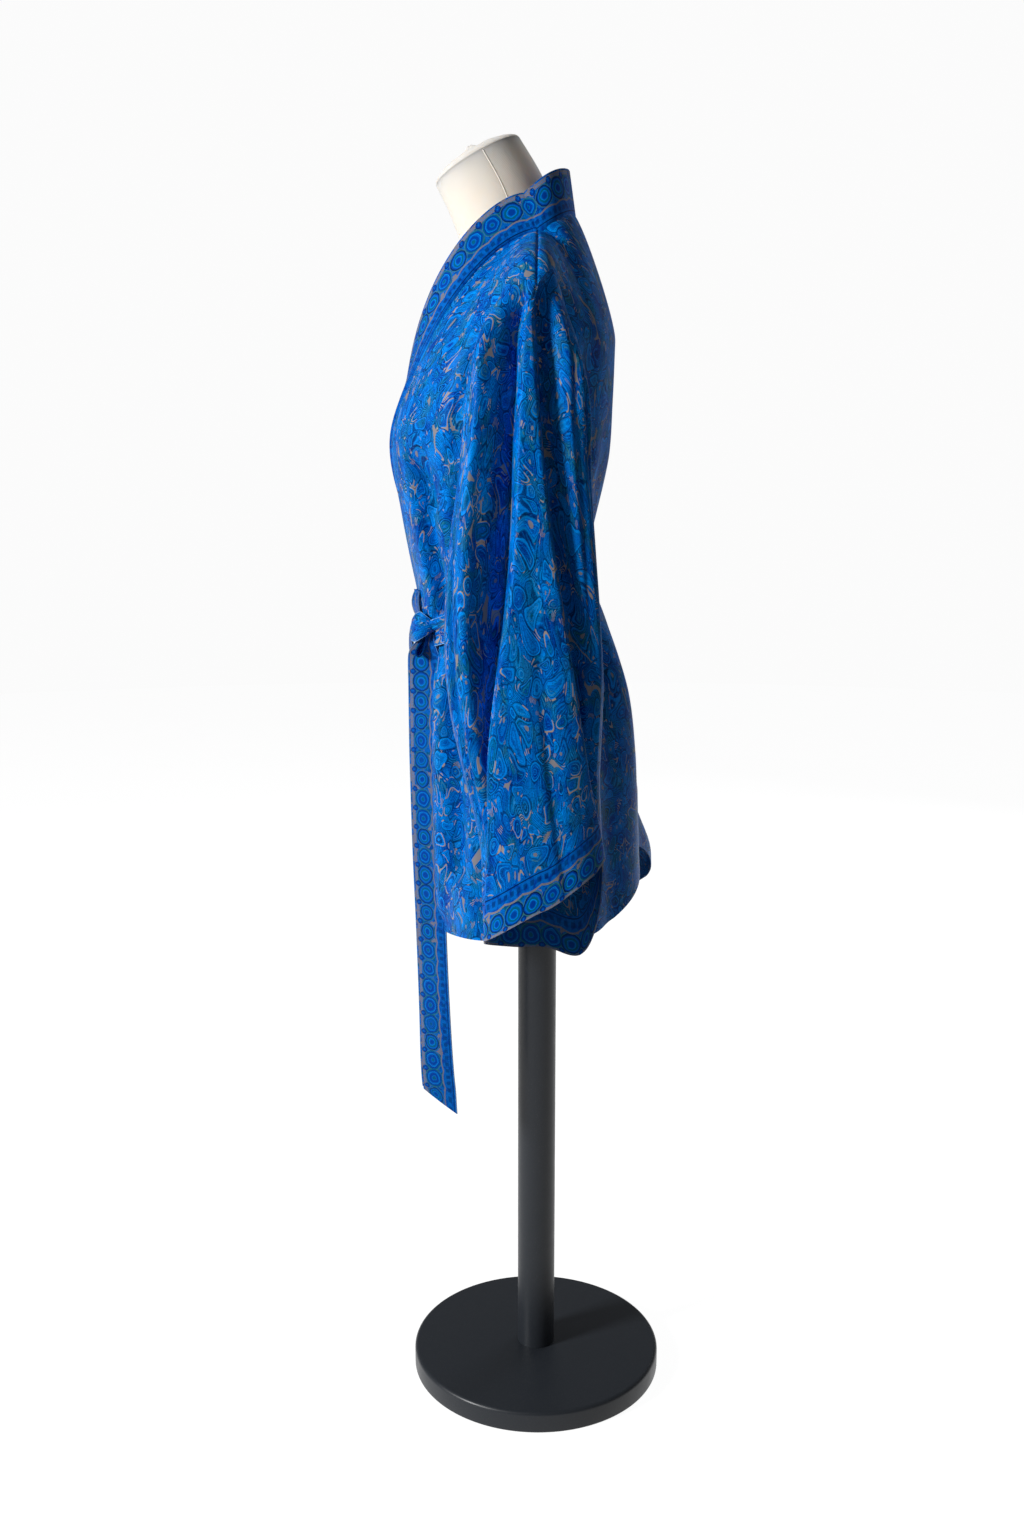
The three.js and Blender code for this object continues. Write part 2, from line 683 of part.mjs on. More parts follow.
function sash() {
  const columns = 54;
  const steps = [-SASH_WIDTH / 2, 0, SASH_WIDTH / 2];
  const skin = (thickness) =>
    steps.map((step) =>
      Array.from({ length: columns }, (_, index) => {
        const around = -180 + (index * 360) / columns;
        const [above, below] = [WAIST_LEVEL - 0.5, WAIST_LEVEL + 0.5];
        const perLevel = plainBody(around, below).distanceTo(plainBody(around, above));
        const level = WAIST_LEVEL + step / perLevel;
        return bodyPoint(around, level, sashStandOff(around) + thickness);
      }),
    );
  return wall(skin(BAND), skin(0), true);
}

// A hanging end of the sash: a flat ribbon whose middle runs through the table's rows.
function ribbon(rows, steps) {
  const across = [-0.5, -0.17, 0.17, 0.5];
  const skin = (offset) =>
    spread(0, rows.length - 1, steps).map((row) =>
      across.map((share) => {
        const turn = radians(column(rows, 'turn', row));
        const width = column(rows, 'width', row) * share;
        const cut = row === rows.length - 1 ? -2 * TAIL_SLANT * share : 0;
        const bow = 1.5 * (1 - (2 * share) ** 2) + offset;
        const x = column(rows, 'x', row) + width * Math.cos(turn) + bow * Math.sin(turn);
        const y = column(rows, 'y', row) + width * Math.sin(turn) - bow * Math.cos(turn);
        return new THREE.Vector3(x, y, column(rows, 'z', row) + cut);
      }),
    );
  return wall(skin(BAND / 2), skin(-BAND / 2), false);
}

// The half knot: a rounded wrap of the sash, turned to lie against the waist.
function knot() {
  const rings = spread(-1, 1, 9).map((height) => {
    const reach = Math.max(Math.sqrt(1 - height * height), 0.3);
    const pinch = 1 - 0.18 * Math.exp(-((height / 0.25) ** 2));
    return Array.from({ length: 20 }, (_, index) => {
      const angle = (index / 20) * 2 * Math.PI;
      const x = KNOT.halfX * reach * pinch * power(Math.cos(angle), 0.8);
      const y = KNOT.halfY * Math.sqrt(reach) * power(Math.sin(angle), 0.8);
      const turn = radians(KNOT.turn);
      return new THREE.Vector3(
        KNOT.x + x * Math.cos(turn) - y * Math.sin(turn),
        KNOT.y + x * Math.sin(turn) + y * Math.cos(turn),
        KNOT.z + KNOT.halfZ * height,
      );
    });
  });
  return loft(rings);
}

// The short loop of the sash that stands up out of the knot, in front of the pouched cloth.
function knotLoop() {
  const gap = LOOP.depth - BAND;
  const path = [
    [LOOP.bottom, 0],
    [mix(LOOP.bottom, LOOP.top, 0.6), 0],
    [LOOP.top - gap, 0],
    [LOOP.top, gap * 0.5],
    [LOOP.top - gap, gap],
    [mix(LOOP.bottom, LOOP.top, 0.6), gap],
    [LOOP.bottom, gap],
  ];
  const across = spread(-1, 1, 6);
  const skin = (offset) =>
    path.map(([z, back], row) => {
      const rise = (z - LOOP.bottom) / (LOOP.top - LOOP.bottom);
      const width = LOOP.halfWidth * (0.7 + 0.3 * Math.sin(rise * 2.4));
      const side = row < 3 ? -1 : row > 3 ? 1 : 0;
      const up = row === 3 ? 1 : Math.abs(row - 3) === 1 ? 0.5 : 0;
      return across.map((share) => {
        const droop = 5 * share * share * rise;
        const y = LOOP.front + back + side * offset + (share + 1) * 3.4;
        return new THREE.Vector3(LOOP.x + width * share, y, z + up * offset - droop);
      });
    });
  return wall(skin(BAND / 2), skin(-BAND / 2 + 0.4), false);
}

// ---------------------------------------------------------------- dress form and stand

// A ring of the form, tilted forward about the X axis.
function formRing(row) {
  const tilt = radians(row.tilt);
  return Array.from({ length: FORM_COLUMNS }, (_, index) => {
    const angle = (index / FORM_COLUMNS) * 2 * Math.PI;
    const forward = -row.depth * power(Math.cos(angle), 2 / row.square);
    const x = row.width * power(Math.sin(angle), 2 / row.square);
    return new THREE.Vector3(x, row.y + forward * Math.cos(tilt), row.z + forward * Math.sin(tilt));
  });
}

// A ring of the form that lies just inside the jacket's cloth.
function torsoRing(level, slack) {
  return Array.from({ length: FORM_COLUMNS }, (_, index) => {
    const around = (index / FORM_COLUMNS) * 360;
    const angle = around > 180 ? around - 360 : around;
    const underWrap = 1 - smooth(42, 78, Math.abs(angle));
    const inset = CLOTH + FORM_CLEAR + slack + underWrap * (WRAP_SINK + BAND - CLOTH);
    const normal = normalOf(plainBody, angle, level, 0.4, 0.02);
    return plainBody(angle, level).addScaledVector(normal, -inset);
  });
}

const TORSO_SLACK = table(
  ['level', 'slack'],
  [
    [1.1, 12],
    [1.6, 8],
    [2.1, 6],
    [2.8, 9],
    [3.6, 9],
    [4.4, 7],
    [5, 0.8],
    [5.6, 6],
    [6.4, 12],
    [7.4, 14],
  ],
);

function formBody() {
  const circle = (radius, z) =>
    Array.from({ length: FORM_COLUMNS }, (_, index) => {
      const angle = (index / FORM_COLUMNS) * 2 * Math.PI;
      return new THREE.Vector3(radius * Math.sin(angle), -radius * Math.cos(angle), z);
    });
  const torso = TORSO_SLACK.map((row) => torsoRing(row.level, row.slack));
  const last = torso[torso.length - 1];
  const hem = last.map((point) => new THREE.Vector3(point.x * 0.98, point.y * 0.98, FORM_BOTTOM + 12));
  const under = last.map((point) => new THREE.Vector3(point.x * 0.93, point.y * 0.93, FORM_BOTTOM));
  const socket = POST.radius + POST.clear;
  return loft([
    ...FORM_RINGS.map(formRing),
    ...torso,
    hem,
    under,
    circle(socket, FORM_BOTTOM),
    circle(socket, POST.socketTop),
  ]);
}

// The gathered cloth cap on the slanted top of the neck.
function neckCap() {
  const top = FORM_RINGS[0];
  const { thickness, dome, gather, ring } = NECK_CAP;
  const profile = [
    [0, 0],
    [top.depth - 2, 0],
    [top.depth, thickness * 0.6],
    [top.depth - 3, thickness + 1],
    [ring, thickness + dome * 0.8],
    [15, thickness + dome],
    [11, thickness + dome + gather * 0.45],
    [6, thickness + dome + gather * 0.9],
    [0, thickness + dome + gather],
  ].map(([radius, height]) => new THREE.Vector2(radius, height));
  const cap = new THREE.LatheGeometry(profile, FORM_COLUMNS);
  cap.rotateX(Math.PI / 2);
  cap.scale(top.width / top.depth, 1, 1);
  cap.rotateX(radians(top.tilt));
  const tilt = radians(top.tilt);
  const lift = 2 * SEAM;
  cap.translate(0, top.y - Math.sin(tilt) * lift, top.z + Math.cos(tilt) * lift);
  return cap;
}

function standBase() {
  const { radius, height, edge } = BASE;
  const shape = new THREE.Path();
  shape.moveTo(0, 0);
  shape.lineTo(radius - edge / 2, 0);
  shape.absarc(radius - edge / 2, edge / 2, edge / 2, -Math.PI / 2, 0, false);
  shape.absarc(radius - edge, height - edge, edge, 0, Math.PI / 2, false);
  shape.lineTo(0, height);
  const base = new THREE.LatheGeometry(shape.getPoints(2), 48);
  return base.rotateX(Math.PI / 2);
}

function standPost() {
  const foot = BASE.height + POST.clear;
  const top = POST.socketTop - POST.clear;
  const post = new THREE.CylinderGeometry(POST.radius, POST.radius, top - foot, POST.sides);
  post.rotateX(Math.PI / 2);
  return post.translate(0, 0, (foot + top) / 2);
}

// ---------------------------------------------------------------- the object

const object = new THREE.Group();

function add(name, geometry, finish) {
  const mesh = new THREE.Mesh(geometry, new THREE.MeshStandardMaterial(finish));
  mesh.name = name;
  object.add(mesh);
}

add('back', backPanel(), SILK);
add('front_left', frontPanel(1), SILK);
add('front_right', frontPanel(-1), SILK);
add('sleeve_left', sleeve(1), SILK);
add('sleeve_right', sleeve(-1), SILK);
add('cuff_left', cuff(1), BORDER);
add('cuff_right', cuff(-1), BORDER);
add('front_band', frontBand(), BORDER);
add('belt_waist', sash(), BORDER);
add('belt_knot', knot(), BORDER);
add('belt_loop', knotLoop(), BORDER);
add('belt_tail_long', ribbon(LONG_TAIL, 15), BORDER);
add('belt_tail_short', ribbon(SHORT_TAIL, 9), BORDER);
add('form_body', formBody(), CALICO);
add('form_neck_cap', neckCap(), CALICO);
add('stand_pole', standPost(), BLACK_SATIN);
add('stand_base', standBase(), BLACK_SATIN);

export default object;
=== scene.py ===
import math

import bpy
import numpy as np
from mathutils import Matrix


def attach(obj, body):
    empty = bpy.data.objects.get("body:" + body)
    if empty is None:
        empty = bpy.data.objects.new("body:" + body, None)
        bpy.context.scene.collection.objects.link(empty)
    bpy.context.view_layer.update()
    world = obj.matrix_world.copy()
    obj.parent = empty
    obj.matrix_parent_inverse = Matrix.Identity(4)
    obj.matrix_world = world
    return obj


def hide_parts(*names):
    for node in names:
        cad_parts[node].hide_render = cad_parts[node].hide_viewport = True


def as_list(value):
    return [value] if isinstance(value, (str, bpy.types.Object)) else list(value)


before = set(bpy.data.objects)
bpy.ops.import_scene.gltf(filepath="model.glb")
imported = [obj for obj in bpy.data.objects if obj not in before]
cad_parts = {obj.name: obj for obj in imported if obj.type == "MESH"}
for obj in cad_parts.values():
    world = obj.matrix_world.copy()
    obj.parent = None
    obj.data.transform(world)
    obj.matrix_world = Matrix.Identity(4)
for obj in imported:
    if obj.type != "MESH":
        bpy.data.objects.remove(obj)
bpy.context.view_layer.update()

# Looks of a silk kimono jacket with its sash, on a limbless dress form with a round post and base.
# The cloth is worked out in millimetres from the same sizes as the solids, and made in metres.
# +Z is up, the jacket's front faces -Y and the wearer's left is +X.

MM = 0.001

# ---------------------------------------------------------------- driving sizes, in mm and degrees

SHELL = 1.0  # visible thickness of the silk
BAND_SHELL = 1.6  # and of the folded band, cuffs and sash
KNOT_SHELL = 1.2
WRAP_LIFT = 4.5  # the left front stands off the body's surface where the fronts overlap
WRAP_SINK = 2.5  # and the right front lies below it
WRAP_ENDS = (42, 78)  # both come back to the surface between these angles
BAND_PROUD = 0.5
BAND_WIDTH = 48
BAND_TURNED_IN = 4.5  # its seam edge turns in under the panels
CUFF_WIDTH = 46
SASH_WIDTH = 34
SASH_CLOTH = 50.0  # printed width of the sash's cloth, from one selvedge's edge to the other's
SASH_SELVEDGE = 0.9
SASH_STAND_OFF = 4.1
SEAM_GROOVE = 2.2
FORM_CLEAR = 2.4
UNDERARM_CLEAR = 3

BASE = {"radius": 160, "height": 27, "edge": 5}
POST_RADIUS = 24
POST_TOP = 770
POST_GAP = 0.3  # between the post and what it stands in
FORM_BOTTOM = 712

NECK_SIDE = np.array([85.0, -3.0, 1412.0])
NECK_BACK = (40.0, 1443.0)  # y and z
NECK_FRONT = (-88.0, 1392.0)
NECK_SIDE_ANGLE = 50
ARMHOLE = {"front": 21, "back": 30, "bottom": 2.6}
ARMHOLE_LEVELS = np.array([0, 0.2, 0.4, 0.6, 0.8, 1, 1.3, 1.6, 1.9, 2.2, 2.4, 2.6])


def table(columns, rows):
    """Named columns of numbers."""
    return {name: np.array(values, float) for name, values in zip(columns, zip(*rows))}


SHOULDER = table(["x", "y", "z"], [
    list(NECK_SIDE),
    [125, -4, 1396],
    [163, -5, 1375],
    [190, -6, 1338],
])

# Rings round the body from the chest to the hem. They tilt: z_front in front, z_back behind.
BODY_RINGS = table(["z_front", "z_back", "front", "back", "side", "middle", "square"], [
    [1255, 1300, -149, 88, 180, -25, 2.3],
    [1188, 1235, -169, 86, 174, -30, 2.3],
    [1105, 1168, -158, 82, 160, -30, 2.3],
    [1022, 1088, -142, 66, 143, -28, 2.3],
    [966, 1043, -127, 56, 130, -28, 2.2],
    [905, 978, -127, 84, 147, -15, 2.3],
    [845, 905, -126, 109, 162, -5, 2.3],
    [775, 830, -125, 119, 168, 0, 2.3],
    [700, 765, -122, 122, 171, 0, 2.3],
    [615, 700, -116, 125, 173, 0, 2.3],
])
WAIST_LEVEL = 5
SEAT_LEVEL = 8  # below it the rings go over into the line of the hem
LAST_LEVEL = 10

HEM = table(["around", "z"], [
    [-180, 697], [-160, 640], [-135, 590], [-105, 560], [-45, 572], [0, 600], [45, 619],
    [90, 622], [135, 641], [160, 678],
])

FRONT_EDGE = table(["level", "around"], [
    [0, NECK_SIDE_ANGLE], [0.5, 36], [1, 22], [2, 9], [3, -6], [4, -16], [5, -22], [7, -28],
    [10, -37],
])

# Folds of the body between two levels: a ridge is positive, with its width in degrees on each side.
FOLD_COLUMNS = ["start", "end", "around_start", "around_end", "before", "after", "height", "ease"]
BODY_FOLDS = table(FOLD_COLUMNS, [
    [5.5, 9.9, 34, 25, 9, 5, 8, 0.2],
    [5.25, 9.3, 42, 36, 3, 11, -18, 0.2],
    [3.9, 5.0, 22, 27, 15, 15, 7, 0.6],
    [2.0, 4.78, 37, 39, 2.6, 9, -19, 0.3],
    [1.0, 3.2, 54, 44, 8, 8, -7, 0.35],
    [1.4, 4.7, -50, -30, 10, 10, -8, 0.35],
    [2.4, 4.75, 70, 60, 5, 5, -6, 0.35],
    [2.6, 4.75, -64, -47, 7, 7, -9, 0.35],
    [3.3, 4.75, -38, -24, 4, 4, -3.5, 0.35],
    [0.4, 2.6, 74, 66, 5, 5, -4, 0.35],
    [5.3, 8.8, -40, -52, 7, 7, -12, 0.15],
    [5.3, 9.0, -24, -27, 4, 4, -3, 0.15],
    [5.2, 10.6, 60, 68, 10, 10, -12, 0.15],
    [5.4, 10.6, -50, -56, 11, 11, -9, 0.15],
    [5.3, 10.6, 128, 132, 10, 10, -8, 0.15],
    [5.4, 10.8, 150, 154, 11, 11, 5, 0.15],
    [5.6, 10.6, 172, 176, 8, 8, -8, 0.15],
    [8.9, 11.6, -163, -163, 14, 14, 28, 0.35],
    [5.3, 10.6, -126, -128, 11, 11, -8, 0.15],
    [2.1, 4.8, 150, 163, 7, 7, -6, 0.45],
    [2.9, 4.8, 170, 178, 5, 5, -5, 0.5],
    [1.8, 4.8, -146, -164, 8, 8, -7, 0.45],
    [3.1, 4.8, -128, -140, 5, 5, -5, 0.5],
    [0.5, 3.0, 128, 138, 8, 8, -5, 0.4],
    [0.4, 2.7, -126, -134, 7, 7, -5, 0.4],
    [5.3, 8.6, 166, 163, 5, 5, -5, 0.2],
    [5.3, 9.2, -150, -146, 6, 6, -6, 0.2],
])

RING_ENDS = ["outer_x", "outer_z", "inner_x", "inner_z", "front_y", "front_z", "back_y", "back_z"]
SLEEVE_RINGS = table(RING_ENDS, [
    [206, 1300, 177, 1085, -80, 1222, 50, 1210],
    [221, 1240, 179, 1020, -88, 1135, 52, 1130],
    [234, 1165, 180, 955, -99, 1052, 57, 1062],
    [245, 1075, 183, 890, -104, 974, 62, 1000],
    [252, 975, 185, 825, -99, 905, 66, 935],
    [257, 880, 186, 765, -84, 832, 65, 878],
    [260, 795, 186, 718, -69, 758, 64, 826],
])
CUFF_MOUTH = {"outer_x": 262, "inner_x": 186, "front_y": -66, "back_y": 71}
CUFF_EDGE = table(["around", "z"], [
    [0, 688], [45, 658], [90, 641], [135, 630], [180, 626], [215, 617], [240, 656],
    [270, 735], [315, 722],
])

# Long folds of the sleeve at five stations from the armhole to the cuff. Each has its place in
# degrees, its own softness and squareness towards the front and the back, and its depth in mm.
SLEEVE_FOLDS = table(["turns", "front", "front_square", "back", "back_square", "depths", "ease"], [
    [[8, 8, 14, 57, 78], 17, 1.25, 3.2, 2, [-13, -25, -31, -22, -6], 0.8],
    [[-4, -14, -29, -54, -82], 3, 2, 20, 1.8, [-14, -22, -22, -16, -5], 0.35],
    [[46, 43, 46, 60, 80], 10, 2, 9, 2, [2, 5, 6, 3, 0], 0.8],
    [[-60, -72, -80, -84, -90], 3, 2, 7, 2, [-2, -6, -3, -1, 0], 0.8],
    [[-40, -50, -58, -68, -88], 5, 2, 9, 2, [-1, -3, -3, -2, 0], 0.8],
    [[1, -2, -5, -10, -20], 4, 2, 7, 2, [0, 0, -1.5, -3, -1], 0.8],
    [[66, 64, 68, 84, 98], 6, 2, 5, 2, [0, -3, -5, -4, -1], 0.8],
    [[150, 158, 165, 162, 160], 16, 2, 16, 2, [-3, -6, -8, -7, -6], 0.8],
    [[222, 218, 215, 216, 216], 12, 2, 12, 2, [2, 4, 5, 4, 3], 0.8],
])
RIGHT_FOLD_SHIFT = 7

LONG_TAIL = table(["x", "y", "z", "width", "turn"], [
    [70, -128.5, 968, 15, 60],
    [68, -131.5, 958, 26, 62],
    [66, -134, 948, 37, 63],
    [64, -134, 934, 44, 65],
    [62, -134, 900, 45, 66],
    [61, -134, 842, 45, 62],
    [61, -133, 780, 45, 60],
    [61, -132, 690, 46, 57],
    [61, -129.5, 600, 46, 58],
    [60, -126, 500, 46, 60],
    [60, -123.5, 430, 46, 63],
    [60, -120.5, 387, 46, 65],
])
SHORT_TAIL = table(["x", "y", "z", "width", "turn"], [
    [42, -142, 952, 22, 14],
    [34, -143, 915, 38, 15],
    [28, -145, 850, 45, 16],
    [26, -147, 785, 45, 17],
    [25, -147, 735, 45, 17],
])
TAIL_SLANT = 13

FORM_RINGS = table(["y", "z", "depth", "width", "tilt", "square"], [
    [-71, 1502.5, 54.4, 51, 28, 2],
    [-52, 1470, 57, 52, 20, 2],
    [-39, 1440, 58, 54, 17, 2],
    [-30, 1418, 58, 62, 12, 1.9],
    [-22, 1401, 50, 82, 8, 1.6],
    [-18, 1386, 48, 112, 5, 1.4],
    [-16, 1368, 55, 143, 3, 1.6],
    [-18, 1340, 70, 162, 2, 1.8],
])
TORSO_SLACK = table(["level", "slack"], [
    [1.1, 12], [1.6, 9], [2.1, 9], [2.7, 19], [3.6, 22], [4.6, 21], [5, 0.8], [5.6, 12],
    [6.1, 21], [7.4, 22],
])

# ---------------------------------------------------------------- small maths


def smooth(start, end, value):
    share = np.clip((value - start) / (end - start), 0, 1)
    return share * share * (3 - 2 * share)


def mix(a, b, share):
    return a + (b - a) * share


def power(value, exponent):
    return np.sign(value) * np.abs(value) ** exponent


def unit(vectors):
    return vectors / np.maximum(np.linalg.norm(vectors, axis=-1, keepdims=True), 1e-9)


def points(x, y, z):
    return np.stack(np.broadcast_arrays(x, y, z), axis=-1).astype(float)


def cubic(before, start, end, after, share):
    rise = (end - before) / 2
    fall = (after - start) / 2
    bend = 2 * start - 2 * end + rise + fall
    turn = 3 * end - 3 * start - 2 * rise - fall
    return ((bend * share + turn) * share + rise) * share + start


def spline(values, position):
    """A smooth value through evenly spaced ones, at whole or broken places among them."""
    padded = np.concatenate([[2 * values[0] - values[1]], values, [2 * values[-1] - values[-2]]])
    start = np.clip(np.floor(position).astype(int), 0, len(values) - 2)
    near = [padded[start + step] for step in range(4)]
    return cubic(*near, position - start)


def column(rows, name, position):
    return spline(rows[name], np.asarray(position, float))


def row_at(rows, key, value):
    return np.interp(value, rows[key], np.arange(len(rows[key])))


def round_table(rows, name, angle):
    """A smooth value round a closed table whose key is an angle in degrees."""
    keys, values = rows["around"], rows[name]
    count = len(keys)
    turned = keys[0] + np.mod(np.asarray(angle, float) - keys[0], 360)
    start = np.searchsorted(keys, turned, side="right") - 1
    closed = np.append(keys, keys[0] + 360)
    share = (turned - closed[start]) / (closed[start + 1] - closed[start])
    near = [values[(start + step) % count] for step in (-1, 0, 1, 2)]
    return cubic(*near, share)


def away_from(around, centre):
    """Signed degrees from a centre line, the short way round."""
    return np.mod(around - centre + 540, 360) - 180


def signed(around):
    return np.where(around > 180, around - 360, around)


def full_turn(count):
    return np.linspace(0, 2 * np.pi, count, endpoint=False)


def normal_of(surface, u, v, step_u=0.4, step_v=0.02):
    along_u = surface(u + step_u, v) - surface(u - step_u, v)
    along_v = surface(u, v + step_v) - surface(u, v - step_v)
    return unit(np.cross(along_v, along_u))


# ---------------------------------------------------------------- the body's surface


def ring_height(around, level):
    back_share = (1 - np.cos(np.radians(around))) / 2
    row = np.minimum(level, SEAT_LEVEL) - 1
    height = mix(column(BODY_RINGS, "z_front", row), column(BODY_RINGS, "z_back", row), back_share)
    below_seat = np.maximum(level - SEAT_LEVEL, 0) / (LAST_LEVEL - SEAT_LEVEL)
    return mix(height, round_table(HEM, "z", around), below_seat)


def ring_point(around, level):
    names = ("front", "back", "side", "middle", "square")
    front, back, side, middle, square = (column(BODY_RINGS, name, level - 1) for name in names)
    bend = 2 / square
    cosine, sine = np.cos(np.radians(around)), np.sin(np.radians(around))
    end = np.where(cosine >= 0, front, back)
    x = side * power(sine, bend)
    y = middle + (end - middle) * np.abs(cosine) ** bend
    return points(x, y, ring_height(around, level))


def top_point(around):
    """The line over the shoulders and round the neck that the whole body hangs from."""
    side = np.where(around < 0, -1.0, 1.0)
    angle = np.abs(around)
    in_front = angle < 90
    from_end = np.where(in_front, angle, 180 - angle)
    turn = np.clip(from_end / NECK_SIDE_ANGLE, 0, 1) * np.pi / 2
    end_y = np.where(in_front, NECK_FRONT[0], NECK_BACK[0])
    end_z = np.where(in_front, NECK_FRONT[1], NECK_BACK[1])
    neck = points(
        side * NECK_SIDE[0] * np.sin(turn),
        NECK_SIDE[1] + (end_y - NECK_SIDE[1]) * np.cos(turn),
        NECK_SIDE[2] + (end_z - NECK_SIDE[2]) * np.cos(turn),
    )
    from_neck = np.clip(from_end - NECK_SIDE_ANGLE, 0, None)
    row = from_neck / (90 - NECK_SIDE_ANGLE) * (len(SHOULDER["x"]) - 1)
    x, y, z = (column(SHOULDER, name, row) for name in "xyz")
    shoulder = points(side * x, y, z)
    return np.where((from_end < NECK_SIDE_ANGLE)[..., None], neck, shoulder)


def plain_body(around, level):
    """The body with no folds: rings from the chest down, a smooth curve over the shoulders."""
    around, level = np.broadcast_arrays(np.asarray(around, float), np.asarray(level, float))
    low = ring_point(around, np.maximum(level, 1))
    chest = ring_point(around, np.ones_like(around))
    slope_steps = 20  # the slope at the chest is taken over a twentieth of a level
    down = (ring_point(around, np.full_like(around, 1 + 1 / slope_steps)) - chest) * slope_steps
    under_collar = smooth(128, 165, np.abs(around))
    forward_y = np.where(np.abs(around) < 90, -110, mix(95, 40, under_collar))
    forward = points(0, forward_y, np.where(np.abs(around) < 90, 0, -45 * under_collar))
    s = np.clip(level, None, 1)[..., None]
    high = (
        top_point(around) * (2 * s**3 - 3 * s**2 + 1)
        + forward * (s**3 - 2 * s**2 + s)
        + chest * (-2 * s**3 + 3 * s**2)
        + down * (s**3 - s**2)
    )
    return np.where((level >= 1)[..., None], low, high)


def fold_height(around, level):
    height = np.zeros(np.broadcast(around, level).shape)
    for start, end, first, last, before, after, depth, ease in zip(*BODY_FOLDS.values()):
        share = (level - start) / (end - start)
        inside = (share > 0) & (share < 1)
        ends = smooth(0, ease, share) * (1 - smooth(0.93, 1, share)) * inside
        away = away_from(around, mix(first, last, share))
        height = height + depth * ends * np.exp(-((away / np.where(away < 0, before, after)) ** 2))
    return height


def body_point(around, level, lift=0.0):
    """The body with its folds and the groove of its shoulder seam, lifted off by some mm."""
    on_shoulder = smooth(48, 56, np.abs(around)) * (1 - smooth(120, 130, np.abs(around)))
    seam = SEAM_GROOVE * np.exp(-((level / 0.014) ** 2)) * on_shoulder
    height = fold_height(around, level) + lift - seam
    return plain_body(around, level) + normal_of(plain_body, around, level) * height[..., None]


def wrap_lift(side, around, level):
    """The left front (side 1) stands over the right one (side -1) where they overlap."""
    lift = WRAP_LIFT if side > 0 else -WRAP_SINK
    return lift * (1 - smooth(*WRAP_ENDS, around)) * smooth(0.4, 1.3, level)


def front_edge(level):
    return column(FRONT_EDGE, "around", row_at(FRONT_EDGE, "level", level))


def armhole_opening(level, width):
    share = np.clip(level / ARMHOLE["bottom"], 0, 1)
    return width * np.sin(np.pi * share) ** 0.9


# ---------------------------------------------------------------- sleeves


def armhole_point(side, around):
    """The armhole's edge: from the shoulder down its front, under the arm and up its back."""
    in_front = around <= 180
    from_top = np.where(in_front, around, 360 - around)
    steps = len(ARMHOLE_LEVELS) - 1
    level = np.interp(from_top / 180 * steps, np.arange(steps + 1), ARMHOLE_LEVELS)
    opening = armhole_opening(level, np.where(in_front, ARMHOLE["front"], ARMHOLE["back"]))
    angle = np.where(in_front, 90 - opening, 90 + opening)
    lift = np.where(in_front, wrap_lift(side, angle, level), 0)
    point = body_point(side * angle, level, lift)
    return point * np.array([side, 1, 1])


def sleeve_ring(ring, around):
    """A ring of the sleeve: its outer, inner, front and back lines give its plane and its reach."""
    cosine, sine = np.cos(np.radians(around)), np.sin(np.radians(around))
    middle_y = (ring["front_y"] + ring["back_y"]) / 2
    half_y = (ring["back_y"] - ring["front_y"]) / 2
    across = (ring["outer_z"] - ring["inner_z"]) / 2
    forward = (ring["front_z"] - ring["back_z"]) / 2
    level = (ring["outer_z"] + ring["inner_z"] + ring["front_z"] + ring["back_z"]) / 4
    bow = (ring["outer_z"] + ring["inner_z"] - ring["front_z"] - ring["back_z"]) / 4
    half_x = (ring["outer_x"] - ring["inner_x"]) / 2
    x = (ring["outer_x"] + ring["inner_x"]) / 2 + half_x * power(cosine, 0.85)
    z = level + across * cosine + forward * sine + bow * np.cos(np.radians(2 * around))
    return points(x, middle_y - half_y * power(sine, 0.9), z)


def cuff_mouth(around):
    flat = dict(CUFF_MOUTH, outer_z=0, inner_z=0, front_z=0, back_z=0)
    point = sleeve_ring(flat, around)
    point[..., 2] = round_table(CUFF_EDGE, "z", around)
    return point


RING_COUNT = len(SLEEVE_RINGS["outer_x"])
CUFF_SEAM = RING_COUNT + 1
SLEEVE_END = CUFF_SEAM + 1


def sleeve_stations(side, around):
    """Points at an extra station, the armhole, the rings, the cuff's seam and its mouth."""
    rings = [{name: values[i] for name, values in SLEEVE_RINGS.items()} for i in range(RING_COUNT)]
    drawn = [armhole_point(side, around)] + [sleeve_ring(ring, around) for ring in rings]
    mouth = cuff_mouth(around)
    seam = mouth + unit(drawn[-1] - mouth) * CUFF_WIDTH
    return np.stack([2 * drawn[0] - drawn[1], *drawn, seam, mouth, mouth])


def plain_sleeve(side, around, along):
    around, along = np.broadcast_arrays(np.mod(np.asarray(around, float), 360), along)
    stations = sleeve_stations(side, around)
    start = np.clip(np.floor(along).astype(int), 0, SLEEVE_END - 1)
    index = start[None, ..., None]
    near = [np.take_along_axis(stations, index + step, axis=0)[0] for step in range(4)]
    point = cubic(*near, (along - start)[..., None])
    under_arm = (1 - np.cos(np.radians(around))) / 2
    swing = smooth(0, 0.5, along) * (1 - smooth(1, 2.4, along))
    point[..., 0] += UNDERARM_CLEAR * under_arm * swing
    return point


